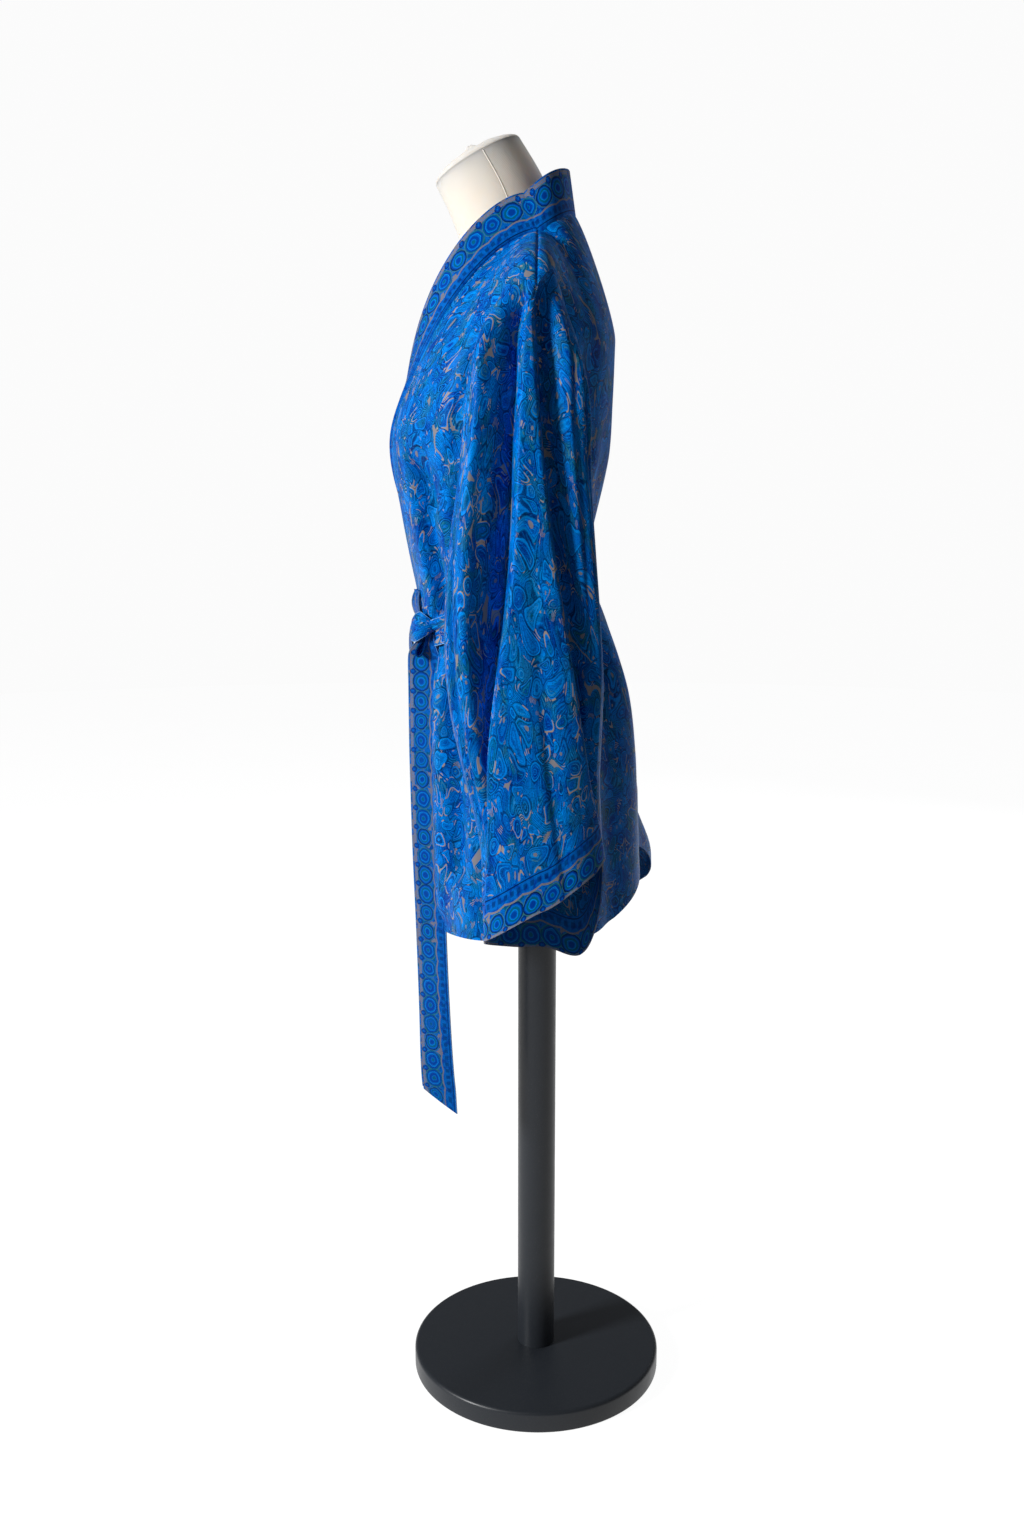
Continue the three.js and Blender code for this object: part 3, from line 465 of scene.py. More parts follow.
def sleeve_fold(side, around, along):
    station = np.clip(along / SLEEVE_END, 0, 1) * (SLEEVE_FOLDS["turns"].shape[1] - 1)
    shift = 0 if side > 0 else RIGHT_FOLD_SHIFT
    height = np.zeros(np.broadcast(around, along).shape)
    for turns, front, front_square, back, back_square, depths, ease in zip(*SLEEVE_FOLDS.values()):
        away = away_from(around, spline(turns, station) + shift)
        soft = np.where(away > 0, front, back)
        square = np.where(away > 0, front_square, back_square)
        depth = spline(depths, station) * smooth(0, ease, along)
        height = height + depth * np.exp(-(np.abs(away / soft) ** square))
    return height


def sleeve_point(side, around, along):
    def plain(u, v):
        return plain_sleeve(side, u, v)

    normal = -normal_of(plain, around, along, step_u=0.6)
    return plain(around, along) + normal * sleeve_fold(side, around, along)[..., None]


# ---------------------------------------------------------------- meshes from grids of points


def running(grid, axis):
    """Length in mm along one axis of a grid of points, from 0, averaged over the other axis."""
    steps = np.linalg.norm(np.diff(grid, axis=axis), axis=-1).mean(axis=1 - axis)
    return np.pad(steps.cumsum(), (1, 0))


def cloth_uv(across, along):
    """Cloth coordinates in metres from mm across and along the cloth."""
    return np.stack(np.broadcast_arrays(across, along), axis=-1) * MM


def arc_uv(grid):
    """Cloth coordinates of a grid: across each row from its middle, and down the rows."""
    across = np.linalg.norm(np.diff(grid, axis=1), axis=-1).cumsum(axis=1)
    across = np.pad(across, ((0, 0), (1, 0)))
    across -= across[:, across.shape[1] // 2][:, None]
    return cloth_uv(across, -running(grid, 0)[:, None])


def sash_uv(share, along):
    """Cloth coordinates of a piece of the sash: a selvedge, the border's full width, a selvedge."""
    return cloth_uv(share * SASH_CLOTH - SASH_SELVEDGE, along)


def closed_ring(grid):
    """The grid with its first column repeated after its last."""
    return np.concatenate([grid, grid[:, :1]], axis=1)


def corners(grid):
    """The four corners of each cell of a grid, on a new third axis."""
    return np.stack([grid[:-1, :-1], grid[1:, :-1], grid[1:, 1:], grid[:-1, 1:]], axis=2)


def shell(name, outer, thickness, materials, closed=False, outward=1, uv=None):
    """A thin wall of cloth: outer is a grid of points in mm, and its thickness goes inwards."""
    rows, columns = outer.shape[:2]
    number = np.arange(rows * columns).reshape(rows, columns)
    if closed:
        along = (np.roll(outer, -1, axis=1) - np.roll(outer, 1, axis=1)) / 2
        number = closed_ring(number)
    else:
        along = np.gradient(outer, axis=1)
    inner = outer - unit(np.cross(np.gradient(outer, axis=0), along)) * outward * thickness
    cloth = arc_uv(closed_ring(outer) if closed else outer) if uv is None else uv
    back = number + rows * columns
    step = slice(None, None, outward)
    cells = corners(number).reshape(-1, 4)
    cell_uv = corners(cloth).reshape(-1, 4, 2)
    faces = [cells[:, step], (cells + rows * columns)[:, ::-1][:, step]]
    face_uv = [cell_uv[:, step], cell_uv[:, ::-1][:, step]]
    edges = [(number[0], back[0], cloth[0], 1), (number[-1], back[-1], cloth[-1], -1)]
    if not closed:
        ends = ((0, -1), (-1, 1))
        edges += [(number[:, end], back[:, end], cloth[:, end], way) for end, way in ends]
    for line, below, edge_uv, way in edges:
        turn = slice(None, None, way * outward)
        faces.append(np.stack([line[:-1], line[1:], below[1:], below[:-1]], axis=-1)[:, turn])
        rim_uv = [edge_uv[:-1], edge_uv[1:], edge_uv[1:], edge_uv[:-1]]
        face_uv.append(np.stack(rim_uv, axis=1)[:, turn])
    material = np.zeros(sum(len(part) for part in faces), int)
    material[len(cells) : 2 * len(cells)] = len(materials) - 1
    vertices = np.concatenate([outer.reshape(-1, 3), inner.reshape(-1, 3)])
    uv = np.concatenate(face_uv)
    piece = make_mesh(name, vertices, np.concatenate(faces), materials, uv, material)
    sharpen_rim(piece, rows * columns, number, closed)
    return piece


def edge_ends(mesh):
    ends = np.zeros(2 * len(mesh.edges), int)
    mesh.edges.foreach_get("vertices", ends)
    return ends.reshape(-1, 2)


def sharpen_rim(piece, count, number, closed):
    """Keeps the cloth's cut edge crisp: both edges of its rim are sharp."""
    on_rim = np.zeros(2 * count, bool)
    for line in [number[0], number[-1]] + ([] if closed else [number[:, 0], number[:, -1]]):
        on_rim[line] = True
        on_rim[line + count] = True
    ends = edge_ends(piece.data)
    same_skin = (ends[:, 0] < count) == (ends[:, 1] < count)
    piece.data.edges.foreach_set("use_edge_sharp", on_rim[ends].all(axis=1) & same_skin)


def add_object(name, data, place=(0, 0, 0)):
    made = bpy.data.objects.new(name, data)
    made.location = place
    bpy.context.scene.collection.objects.link(made)
    return made


def make_mesh(name, vertices, faces, materials, uv=None, material=None):
    """A smooth mesh from points in mm, which turn into metres here."""
    mesh = bpy.data.meshes.new(name)
    in_metres = (np.asarray(vertices) * MM).tolist()
    mesh.from_pydata(in_metres, [], [list(map(int, face)) for face in faces])
    for finish in materials:
        mesh.materials.append(finish)
    if uv is not None:
        mesh.uv_layers.new(name="cloth").data.foreach_set("uv", np.asarray(uv, float).ravel())
    if material is not None:
        mesh.polygons.foreach_set("material_index", material)
    mesh.polygons.foreach_set("use_smooth", np.ones(len(mesh.polygons), bool))
    mesh.update()
    return add_object(name, mesh)


def loft(name, rings, materials, caps=(True, True)):
    """A solid through closed rings of points, with a fan over each capped end."""
    rings = np.asarray(rings)
    count, columns = rings.shape[:2]
    number = closed_ring(np.arange(count * columns).reshape(count, columns))
    faces = corners(number).reshape(-1, 4).tolist()
    vertices = rings.reshape(-1, 3).tolist()
    capped_ends = [end for end, capped in zip((0, count - 1), caps) if capped]
    for end in capped_ends:
        hub = len(vertices)
        vertices.append(rings[end].mean(axis=0).tolist())
        line = number[end] if end else number[end][::-1]
        faces += [[hub, line[i], line[i + 1]] for i in range(columns)]
    piece = make_mesh(name, vertices, faces, materials)
    ends = edge_ends(piece.data)
    on_rims = [np.isin(ends, number[end]).all(axis=1) for end in capped_ends]
    piece.data.edges.foreach_set("use_edge_sharp", np.any(on_rims, axis=0))
    return piece


def tube(name, path, radius, materials):
    """A thin round strand along a path of points in mm."""
    along = unit(np.gradient(path, axis=0))
    across = unit(np.cross(along, [0.3, 0.9, 0.1]))  # any direction that the path never takes
    other = np.cross(along, across)
    turn = full_turn(8)[None, :, None]
    spokes = across[:, None] * np.cos(turn) + other[:, None] * np.sin(turn)
    return loft(name, path[:, None] + radius * spokes, materials)


def dress(piece, node=None):
    """Rides on the part's one body and may stand for a node, whose solid it hides."""
    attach(piece, "root")
    if node:
        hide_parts(node)
    return piece


# ---------------------------------------------------------------- shader helpers

MIX_SOCKETS = {"share": 0, "a": 6, "b": 7, "result": 2}  # of the Mix node's colour version


class Wire:
    """A node's output, which adds, subtracts, multiplies and divides like a number."""

    def __init__(self, ink, socket):
        self.ink, self.socket = ink, socket

    def __add__(self, other):
        return self.ink.math("ADD", self, other)

    def __radd__(self, other):
        return self.ink.math("ADD", other, self)

    def __sub__(self, other):
        return self.ink.math("SUBTRACT", self, other)

    def __rsub__(self, other):
        return self.ink.math("SUBTRACT", other, self)

    def __mul__(self, other):
        return self.ink.math("MULTIPLY", self, other)

    def __truediv__(self, other):
        return self.ink.math("DIVIDE", self, other)


class Outputs:
    """All outputs of a node, by name or number."""

    def __init__(self, ink, sockets):
        self.ink, self.sockets = ink, sockets

    def __getitem__(self, key):
        return Wire(self.ink, self.sockets[key])


class Shader:
    """A node material being built. Each call adds its nodes and returns an output or several."""

    def __init__(self, name):
        self.material = bpy.data.materials.new(name)
        self.material.use_nodes = True
        self.tree = self.material.node_tree
        self.surface = self.tree.nodes["Principled BSDF"]

    def feed(self, socket, value):
        """Gives an input the output of another node, a number, a vector or a colour."""
        if isinstance(value, Wire):
            self.tree.links.new(value.socket, socket)
        else:
            socket.default_value = (*value, 1.0) if socket.type == "RGBA" else value

    def node(self, kind, inputs=(), **settings):
        """Adds a node, feeds its inputs by name, or in their order, and returns its outputs."""
        made = self.tree.nodes.new("ShaderNode" + kind)
        for key, value in settings.items():
            setattr(made, key, value)
        for key, value in inputs.items() if isinstance(inputs, dict) else enumerate(inputs):
            self.feed(made.inputs[key], value)
        return Outputs(self, made.outputs)

    def math(self, operation, a, b=0.0, c=0.0):
        return self.node("Math", (a, b, c), operation=operation)[0]

    def step(self, low, high, value):
        """A soft step: 0 below low and 1 above high, the other way round when low is the larger."""
        inputs = {"Value": value, "From Min": min(low, high), "From Max": max(low, high)}
        inputs["To Min"], inputs["To Max"] = (0.0, 1.0) if low < high else (1.0, 0.0)
        return self.node("MapRange", inputs, interpolation_type="SMOOTHSTEP")[0]

    def line(self, value, centre, half, soft):
        """1 where value is within half of centre."""
        return self.step(half + soft, half, self.math("ABSOLUTE", value - centre))

    def vector(self, x=0.0, y=0.0, z=0.0):
        return self.node("CombineXYZ", (x, y, z))[0]

    def split(self, vector):
        return self.node("SeparateXYZ", (vector,))

    def vmath(self, operation, a, b=(0.0, 0.0, 0.0)):
        return self.node("VectorMath", (a, b), operation=operation)[0]

    def length(self, vector):
        return self.node("VectorMath", (vector,), operation="LENGTH")["Value"]

    def scale(self, vector, factor):
        return self.node("VectorMath", {"Vector": vector, "Scale": factor}, operation="SCALE")[0]

    def noise(self, vector, scale, detail=2.0):
        inputs = {"Vector": vector, "Scale": scale, "Detail": detail}
        return self.node("TexNoise", inputs, noise_dimensions="3D")

    def drift(self, vector, scale, detail, reach):
        """A slow random shift in all directions."""
        centred = self.vmath("SUBTRACT", self.noise(vector, scale, detail)[1], (0.5, 0.5, 0.5))
        return self.scale(centred, reach)

    def cells(self, vector, scale, random, feature="F1"):
        inputs = {"Vector": vector, "Scale": scale, "Randomness": random}
        return self.node("TexVoronoi", inputs, voronoi_dimensions="2D", feature=feature)

    def chance(self, vector):
        return self.node("TexWhiteNoise", {"Vector": vector}, noise_dimensions="3D")

    def ramp(self, value, stops):
        """Flat colours, each from its own stop to the next."""
        made = self.tree.nodes.new("ShaderNodeValToRGB")
        made.color_ramp.interpolation = "CONSTANT"
        elements = made.color_ramp.elements
        while len(elements) < len(stops):
            elements.new(1.0)
        for element, (place, colour) in zip(elements, stops):
            element.position = place
            element.color = (*colour, 1.0)
        self.feed(made.inputs[0], value)
        return Wire(self, made.outputs[0])

    def blend(self, share, a, b):
        inputs = {MIX_SOCKETS["share"]: share, MIX_SOCKETS["a"]: a, MIX_SOCKETS["b"]: b}
        return self.node("Mix", inputs, data_type="RGBA")[MIX_SOCKETS["result"]]

    def uv(self):
        return self.node("UVMap", uv_map="cloth")[0]

    def place(self):
        return self.node("TexCoord")["Object"]

    def bump(self, height, distance, strength, under=None):
        inputs = {"Height": height, "Distance": distance, "Strength": strength}
        return self.node("Bump", inputs if under is None else {**inputs, "Normal": under})[0]

    def finish(self, colour, rough, normal=None, **more):
        inputs = {"Base Color": colour, "Roughness": rough, **more}
        if normal is not None:
            inputs["Normal"] = normal
        for key, value in inputs.items():
            self.feed(self.surface.inputs[key.replace("_", " ")], value)
        return self.material


# ---------------------------------------------------------------- the silk's print

NAVY = (0.0, 0.011, 0.065)
ROYAL = (0.0, 0.04, 0.31)
AZURE = (0.0, 0.125, 0.52)
SKY = (0.0, 0.24, 0.78)
TEAL = (0.0, 0.105, 0.20)
TAUPE = (0.20, 0.185, 0.20)
ROSE = (0.34, 0.27, 0.22)
LIME = (0.06, 0.19, 0.13)
SELVEDGE = (0.22, 0.42, 0.66)

MOTIF = 0.0175  # size of one paisley, in metres of cloth
GAP = 0.79  # where the taupe ground begins, as a share of a motif from its middle
STREAMS = 38.0  # how many contour lines the flowing ground has
RING_STEP = 0.0042  # from one printed contour line to the next
PAISLEY_GRAIN = 0.0014
MEDALLION = 0.0235  # from one border medallion to the next
BORDER = {"strip": 0.0125, "middle": 0.0288, "radius": 0.0120, "end": 0.0435, "grain": 0.0016}
DROP = {"across": 0.0412, "half_width": 0.0042, "half_length": 0.0034}
SCALLOP = 0.0022
SQUARE_STEP = 0.0085  # from one small square of the strip to the next
DASH_STEP = 0.004
SELVEDGE_LINES = ((-0.0001, -0.0003), (0.0481, 0.0483))  # where each begins, and where it is full

# The two kinds of medallion, from the middle outwards.
MEDALLION_RINGS = [
    [(0.0, TEAL), (0.18, AZURE), (0.30, ROYAL), (0.56, AZURE),
     (0.68, SKY), (0.74, ROYAL), (0.90, TEAL)],
    [(0.0, ROYAL), (0.30, AZURE), (0.40, SKY), (0.46, TEAL),
     (0.66, AZURE), (0.80, ROYAL), (0.90, NAVY)],
]


def weave(ink, cloth):
    """The bump of a fine satin weave, over slow unevenness of the cloth."""
    x, y, _ = ink.split(cloth)
    threads = ink.math("SINE", x * 5200.0) * ink.math("SINE", y * 3900.0)
    slow = ink.noise(cloth, 70.0, 3.0)[0]
    return ink.bump(slow, 0.0012, 0.35, ink.bump(threads, 0.00006, 0.25))


def contour_colours(ink, bands, seed):
    """Each contour band gets one of the blues, by its number and a seed."""
    number = ink.math("FLOOR", bands)
    pick = ink.chance(ink.vector(number, seed, 0.0))[0]
    stops = [(0.0, ROYAL), (0.24, AZURE), (0.50, TEAL), (0.62, AZURE), (0.80, SKY), (0.95, NAVY)]
    return ink.ramp(pick, stops)


def paisley_print(ink):
    """A dense paisley: leaves and curled drops among streams of close lines, and taupe gaps."""
    cloth = ink.uv()
    flat = ink.vmath("DIVIDE", cloth, (MOTIF * 0.82, MOTIF * 1.35, 1.0))
    warped = ink.vmath("ADD", flat, ink.drift(flat, 0.5, 0.6, 2.4))
    cell = ink.cells(warped, 1.0, 0.95)
    border = ink.cells(warped, 1.0, 0.95, "DISTANCE_TO_EDGE")["Distance"]
    seed = ink.split(cell["Color"])
    green, tan, light = ink.split(ink.noise(flat, 0.8, 1.0)[1])

    # each cell holds a leaf, or a drop that is turned by chance, narrow at one end and curled over
    local = ink.vmath("SUBTRACT", warped, cell["Position"])
    turn = {"Vector": local, "Angle": seed[0] * 6.283}
    x, y, _ = ink.split(ink.node("VectorRotate", turn, rotation_type="Z_AXIS")[0])
    curled = x + y * y * 1.1
    width = ink.math("MAXIMUM", 0.62 - y * 0.7, 0.12)
    drop = ink.length(ink.vector(curled / width, y * 1.15))
    is_drop = ink.step(0.45, 0.46, seed[2])
    shape = drop * is_drop + cell["Distance"] * (1.0 - is_drop)
    edge = shape - (0.34 + seed[1] * 0.28)
    edge = ink.math("SMOOTH_MAX", edge, 0.05 - border, 0.12)
    inside = ink.step(0.01, -0.01, edge)
    outside = 1.0 - inside

    # contour lines: broad ones inside a motif, and long close streams that flow past it
    inner = edge * (MOTIF / RING_STEP * 1.5) + seed[2] * 9.0
    stream = ink.vmath("MULTIPLY", warped, (1.0, 0.5, 1.0))
    outer = ink.noise(stream, 0.62, 0.8)[0] * STREAMS
    bands = inside * inner + outside * outer

    # soft patches of azure, royal and teal carry the contour colours
    depth = ink.noise(flat, 0.55, 2.0)[0]
    ground = ink.blend(ink.step(0.46, 0.60, depth), AZURE, ROYAL)
    ground = ink.blend(ink.step(0.48, 0.36, depth) * 0.7, ground, SKY)
    ground = ink.blend(ink.step(0.47, 0.6, green) * 0.85, ground, TEAL)
    tint = contour_colours(ink, bands, seed[2])
    colour = ink.blend(0.3 + inside * 0.35, ground, tint)
    place = ink.math("FRACT", bands)
    dark = ink.line(place, 0.1, 0.08, 0.1) * (0.35 + outside * 0.35)
    colour = ink.blend(dark, colour, NAVY)
    pale = ink.line(place, 0.56, 0.07, 0.08)
    for share, hue in ((ink.step(0.54, 0.62, green), LIME), (ink.step(0.42, 0.54, light), SKY)):
        colour = ink.blend(pale * share * 0.6, colour, hue)

    # a stipple of small grains, dark and pale
    grain = ink.cells(cloth, 1.0 / PAISLEY_GRAIN, 0.95)
    tone = ink.split(grain["Color"])[0]
    dots = ink.step(0.45, 0.2, grain["Distance"]) * (0.5 + tan * 0.6)
    colour = ink.blend(dots * ink.step(0.46, 0.44, tone) * 0.75, colour, NAVY)
    colour = ink.blend(dots * ink.step(0.7, 0.72, tone) * 0.35, colour, SKY)

    # the motif's rim, dark with a pale line inside it, and tan where it catches the taupe ground
    colour = ink.blend(ink.line(edge, 0.03, 0.02, 0.03) * 0.6, colour, NAVY)
    colour = ink.blend(ink.line(edge, -0.045, 0.015, 0.02) * 0.5, colour, SKY)
    catches = ink.line(edge, 0.012, 0.028, 0.012) * ink.step(0.6, 0.62, tan)
    colour = ink.blend(catches * 0.85, colour, ROSE)

    # taupe ground: concave islands where motifs meet, and short dashes of it along some streams
    island = ink.step(GAP, GAP + 0.03, cell["Distance"]) * outside
    some = ink.step(0.62, 0.635, ink.noise(flat, 1.7, 1.0)[0])
    dash = ink.line(place, 0.55, 0.16, 0.05) * some
    colour = ink.blend(dash * outside * 0.8, colour, ROSE)
    colour = ink.blend(island, colour, TAUPE)
    core = ink.step(0.12, 0.1, shape) * (inside * ink.step(0.74, 0.75, seed[1]))
    return ink.blend(core * 0.9, colour, TAUPE), cloth


def selvedges(ink, colour, across):
    for low, high in SELVEDGE_LINES:
        colour = ink.blend(ink.step(low, high, across) * 0.8, colour, SELVEDGE)
    return colour


def border_print(ink):
    """The border: a blue strip with dark squares, a taupe scallop and a row of medallions."""
    cloth = ink.uv()
    across, along, _ = ink.split(cloth)
    number = ink.math("FLOOR", along / MEDALLION)
    odd = ink.split(ink.chance(ink.vector(number, 1.3, 0.0))[1])
    centre = (number + 0.5) * MEDALLION
    dx, dy, _ = ink.split(ink.drift(cloth, 120.0, 1.0, 0.0035))
    x = across - BORDER["middle"] + dx
    y = along - centre + dy
    size = 0.86 + odd[0] * 0.2
    ring = ink.length(ink.vector(x, y * 1.04)) / BORDER["radius"] / size
    kinds = [ink.ramp(ring, stops) for stops in MEDALLION_RINGS]
    medallion = ink.blend(ink.step(0.45, 0.55, odd[1]), *kinds)
    flow = ink.noise(cloth, 95.0, 2.0)
    bands = flow[0] * 16.0
    ground = contour_colours(ink, bands, 8.1)
    ground = ink.blend(ink.line(ink.math("FRACT", bands), 0.1, 0.08, 0.08) * 0.5, ground, NAVY)
    between = ink.step(1.16, 1.24, ring)
    taupe = between * ink.step(0.57, 0.6, ink.split(flow[1])[1])
    ground = ink.blend(taupe, ground, TAUPE)
    colour = ink.blend(ink.step(1.0, 1.03, ring), medallion, ground)
    colour = ink.blend(ink.line(ring, 1.06, 0.03, 0.03) * 0.6, colour, LIME)

    # small drops on taupe along the outer edge, between the medallions
    nearest = ink.math("ROUND", along / MEDALLION)
    x = (across - DROP["across"]) * (1 / DROP["half_width"])
    y = (along - nearest * MEDALLION) * (1 / DROP["half_length"])
    drop = ink.length(ink.vector(x, y)) + (flow[0] - 0.5) * 0.5
    outer = ink.step(0.0408, 0.0416, across) * ink.step(1.06, 1.12, ring)
    colour = ink.blend(outer * ink.step(0.0462, 0.0456, across), colour, TAUPE)
    blues = ink.ramp(drop, [(0.0, AZURE), (0.3, ROYAL), (0.8, NAVY)])
    colour = ink.blend(ink.step(1.05, 1.0, drop), colour, blues)

    # the scalloped line and the plain strip beside the seam
    wave = ink.math("ABSOLUTE", ink.math("SINE", along * (math.pi / MEDALLION)))
    edge = BORDER["strip"] + wave * SCALLOP
    colour = ink.blend(ink.line(across - edge, 0.0008, 0.0009, 0.0004), colour, TAUPE)
    strip = ink.step(0.0003, -0.0003, across - edge)
    tint = ink.blend(ink.step(0.3, 0.6, ink.noise(cloth, 160.0, 2.0)[0]), ROYAL, AZURE)
    square_x = ink.line(across, BORDER["strip"] * 0.62, 0.0022, 0.0006)
    square_y = ink.line(ink.math("FRACT", along * (1.0 / SQUARE_STEP)), 0.5, 0.24, 0.06)
    tint = ink.blend(square_x * square_y * 0.6, tint, NAVY)
    tint = ink.blend(ink.line(across, 0.0022, 0.0004, 0.0003), tint, NAVY)
    colour = ink.blend(strip, colour, tint)
    dash = ink.line(ink.math("FRACT", along * (1.0 / DASH_STEP)), 0.5, 0.25, 0.1)
    end = ink.line(across, BORDER["end"], 0.0004, 0.0003)
    colour = ink.blend(end * (dash * 0.5), colour, SKY)
    colour = selvedges(ink, colour, across)
    grain = ink.cells(cloth, 1.0 / BORDER["grain"], 0.9)["Distance"]
    return ink.blend(ink.step(0.34, 0.18, grain) * 0.25, colour, NAVY), cloth


def sash_print(ink):
    """The sash's other face: the paisley between two pale selvedges."""
    colour, cloth = paisley_print(ink)
    return selvedges(ink, colour, ink.split(cloth)[0]), cloth


def silk(name, printed, painted_shade_and_wrong_side_darkening=0.0):
    """Printed silk satin; its darkening sinks the colours towards navy: on a wrong side, and on the
    sash's right side as painted shade, partly its darker print.
    """
    ink = Shader(name)
    colour, cloth = printed(ink)
    # colours sink towards navy: painted shade on the sash's right side, partly its darker print;
    # the wrong side's darker tone on insides
    if painted_shade_and_wrong_side_darkening:
        colour = ink.blend(painted_shade_and_wrong_side_darkening, colour, (0.002, 0.04, 0.17))
    rough = 0.36 + ink.noise(cloth, 240.0, 2.0)[0] * 0.14
    return ink.finish(colour, rough, weave(ink, cloth), IOR=1.22, Specular_Tint=(0.05, 0.40, 1.0))


def jersey():
    """Cream knitted cover of the form, with a fine rib and slight unevenness."""
    ink = Shader("form_jersey")
    place = ink.place()
    x, y, z = ink.split(place)
    rib = ink.math("SINE", (x + y) * 3600.0)
    loops = rib * ink.math("SINE", z * 3000.0)
    tone = ink.blend(ink.noise(place, 45.0, 3.0)[0], (0.73, 0.66, 0.575), (0.76, 0.69, 0.605))
    normal = ink.bump(ink.noise(place, 30.0, 3.0)[0], 0.0015, 0.3, ink.bump(loops, 0.0001, 0.5))
    depth = {"Subsurface_Radius": (0.08, 0.065, 0.05), "Subsurface_Scale": 1.0}
    sheen = {"Sheen_Weight": 0.3, "Sheen_Roughness": 0.5, "Specular_IOR_Level": 0.25}
    return ink.finish(tone, 0.85, normal, Subsurface_Weight=0.6, **depth, **sheen)


def black_satin():
    """Powder coated steel of the post and base, with a faint orange peel and a little dust."""
    ink = Shader("satin_black")
    place = ink.place()
    dust = ink.step(0.62, 0.72, ink.noise(place, 900.0, 1.0)[0])
    tone = ink.blend(dust * 0.12, (0.016, 0.019, 0.024), (0.12, 0.12, 0.12))
    rough = 0.3 + ink.noise(place, 60.0, 3.0)[0] * 0.16
    peel = ink.bump(ink.noise(place, 1400.0, 1.0)[0], 0.00008, 0.35)
    return ink.finish(tone, rough, peel, Specular_IOR_Level=0.32)


def shining(ink, colour, rough, strength):
    """A matt finish that gives out white light of its own."""
    white = {"Emission_Color": (1.0, 1.0, 1.0), "Emission_Strength": strength}
    return ink.finish(colour, rough, Specular_IOR_Level=0.0, **white)


def pale_floor():
    """Matt white floor, lit so brightly that only the part's own shadow shows on it."""
    ink = Shader("pale_floor")
    tone = ink.blend(ink.noise(ink.place(), 3.0)[0], (0.13, 0.13, 0.13), (0.15, 0.15, 0.15))
    return shining(ink, tone, 0.9, 0.945)


def thread():
    ink = Shader("piping_cream")
    twist = ink.math("SINE", ink.split(ink.place())[2] * 5000.0)
    return ink.finish((0.68, 0.62, 0.54), 0.6, ink.bump(twist, 0.0002, 0.5))


def two_faced(name, printed, painted_shade_and_wrong_side_darkening=0.0, deep_inside=0.2):
    """The cloth's right side and its wrong side."""
    return [silk(name, printed, painted_shade_and_wrong_side_darkening), silk(name + "_inside", printed, deep_inside)]


PRINT = two_faced("silk_paisley", paisley_print)
TRIM = two_faced("silk_border", border_print)
# the sash's right side sinks 0.35 towards navy: painted shade on its hanging ends and knot, partly
# its darker print; its wrong side sinks 0.45
SASH = two_faced("silk_sash_border", border_print, 0.35, 0.45)
FIELD = two_faced("silk_sash", sash_print)
JERSEY = [jersey()]
SATIN = [black_satin()]
PIPING = [thread()]
SIDES = {1: "left", -1: "right"}


# ---------------------------------------------------------------- body panels

# rows of the panels' grids, close together at the shoulder seam
LEVELS = np.concatenate(
    [[0, 0.007, 0.014], np.linspace(0.024, 1, 39, endpoint=False), np.linspace(1, LAST_LEVEL, 150)]
)
EDGE_DIP = {"depth": 1.4, "width": 0.9}  # the front's edge dips under the band


def front_panel(side):
    seam = 90 - armhole_opening(LEVELS, ARMHOLE["front"])
    share = np.concatenate([[0, 0.006, 0.012, 0.018], np.linspace(0.026, 1, 88)])
    around = mix(front_edge(LEVELS)[:, None], seam[:, None], share)
    level = np.broadcast_to(LEVELS[:, None], around.shape)
    from_edge = (around - front_edge(level)) / EDGE_DIP["width"]
    dip = EDGE_DIP["depth"] * np.exp(-(from_edge**2)) * smooth(0.05, 0.4, level)
    outer = body_point(side * around, level, wrap_lift(side, around, level) - dip)
    return shell(SIDES[side] + "_front", outer, SHELL, PRINT, outward=side)


def back_panel():
    seam = 90 + armhole_opening(LEVELS, ARMHOLE["back"])
    around = signed(mix(seam[:, None], 360 - seam[:, None], np.linspace(0, 1, 150)))
    level = np.broadcast_to(LEVELS[:, None], around.shape)
    return shell("back_panel", body_point(around, level), SHELL, PRINT)


# ---------------------------------------------------------------- front band


def band_half(side, level, around, share, turned_in):
    """A stretch of the band: it lies on the chest and stands up round the neck."""
    level, around, share, turned_in = np.broadcast_arrays(
        level[:, None], around[:, None], share, turned_in
    )
    lift = wrap_lift(side, around, level) + BAND_PROUD - turned_in
    seam_lift = wrap_lift(side, around, level) + BAND_PROUD * smooth(0, 0.4, level) - turned_in
    on_neck = (around > 90)[..., None]
    neck_line = top_point(side * around) - points(0, 0, 1) * turned_in[..., None]
    seam = np.where(on_neck, neck_line, body_point(side * around, level, seam_lift))
    standing = smooth(1.15, 0, level)[..., None]
    neck_share = np.clip((around - 180 + NECK_SIDE_ANGLE) / NECK_SIDE_ANGLE, 0, 1)
    inwards = mix(0.36, 0, smooth(0, 0.6, neck_share))
    forward = mix(-0.34, -0.13, smooth(0.1, 1, neck_share))
    rise = unit(points(-side * inwards, forward, 0.9))
    stood = seam + rise * (BAND_WIDTH * share)[..., None]
    first = body_point(side * around, level, lift)
    second = body_point(side * (around - 1), level, lift)
    per_degree = np.linalg.norm(first - second, axis=-1)
    laid = body_point(side * (around - BAND_WIDTH * share / per_degree), level, lift)
    return mix(laid, stood, standing)


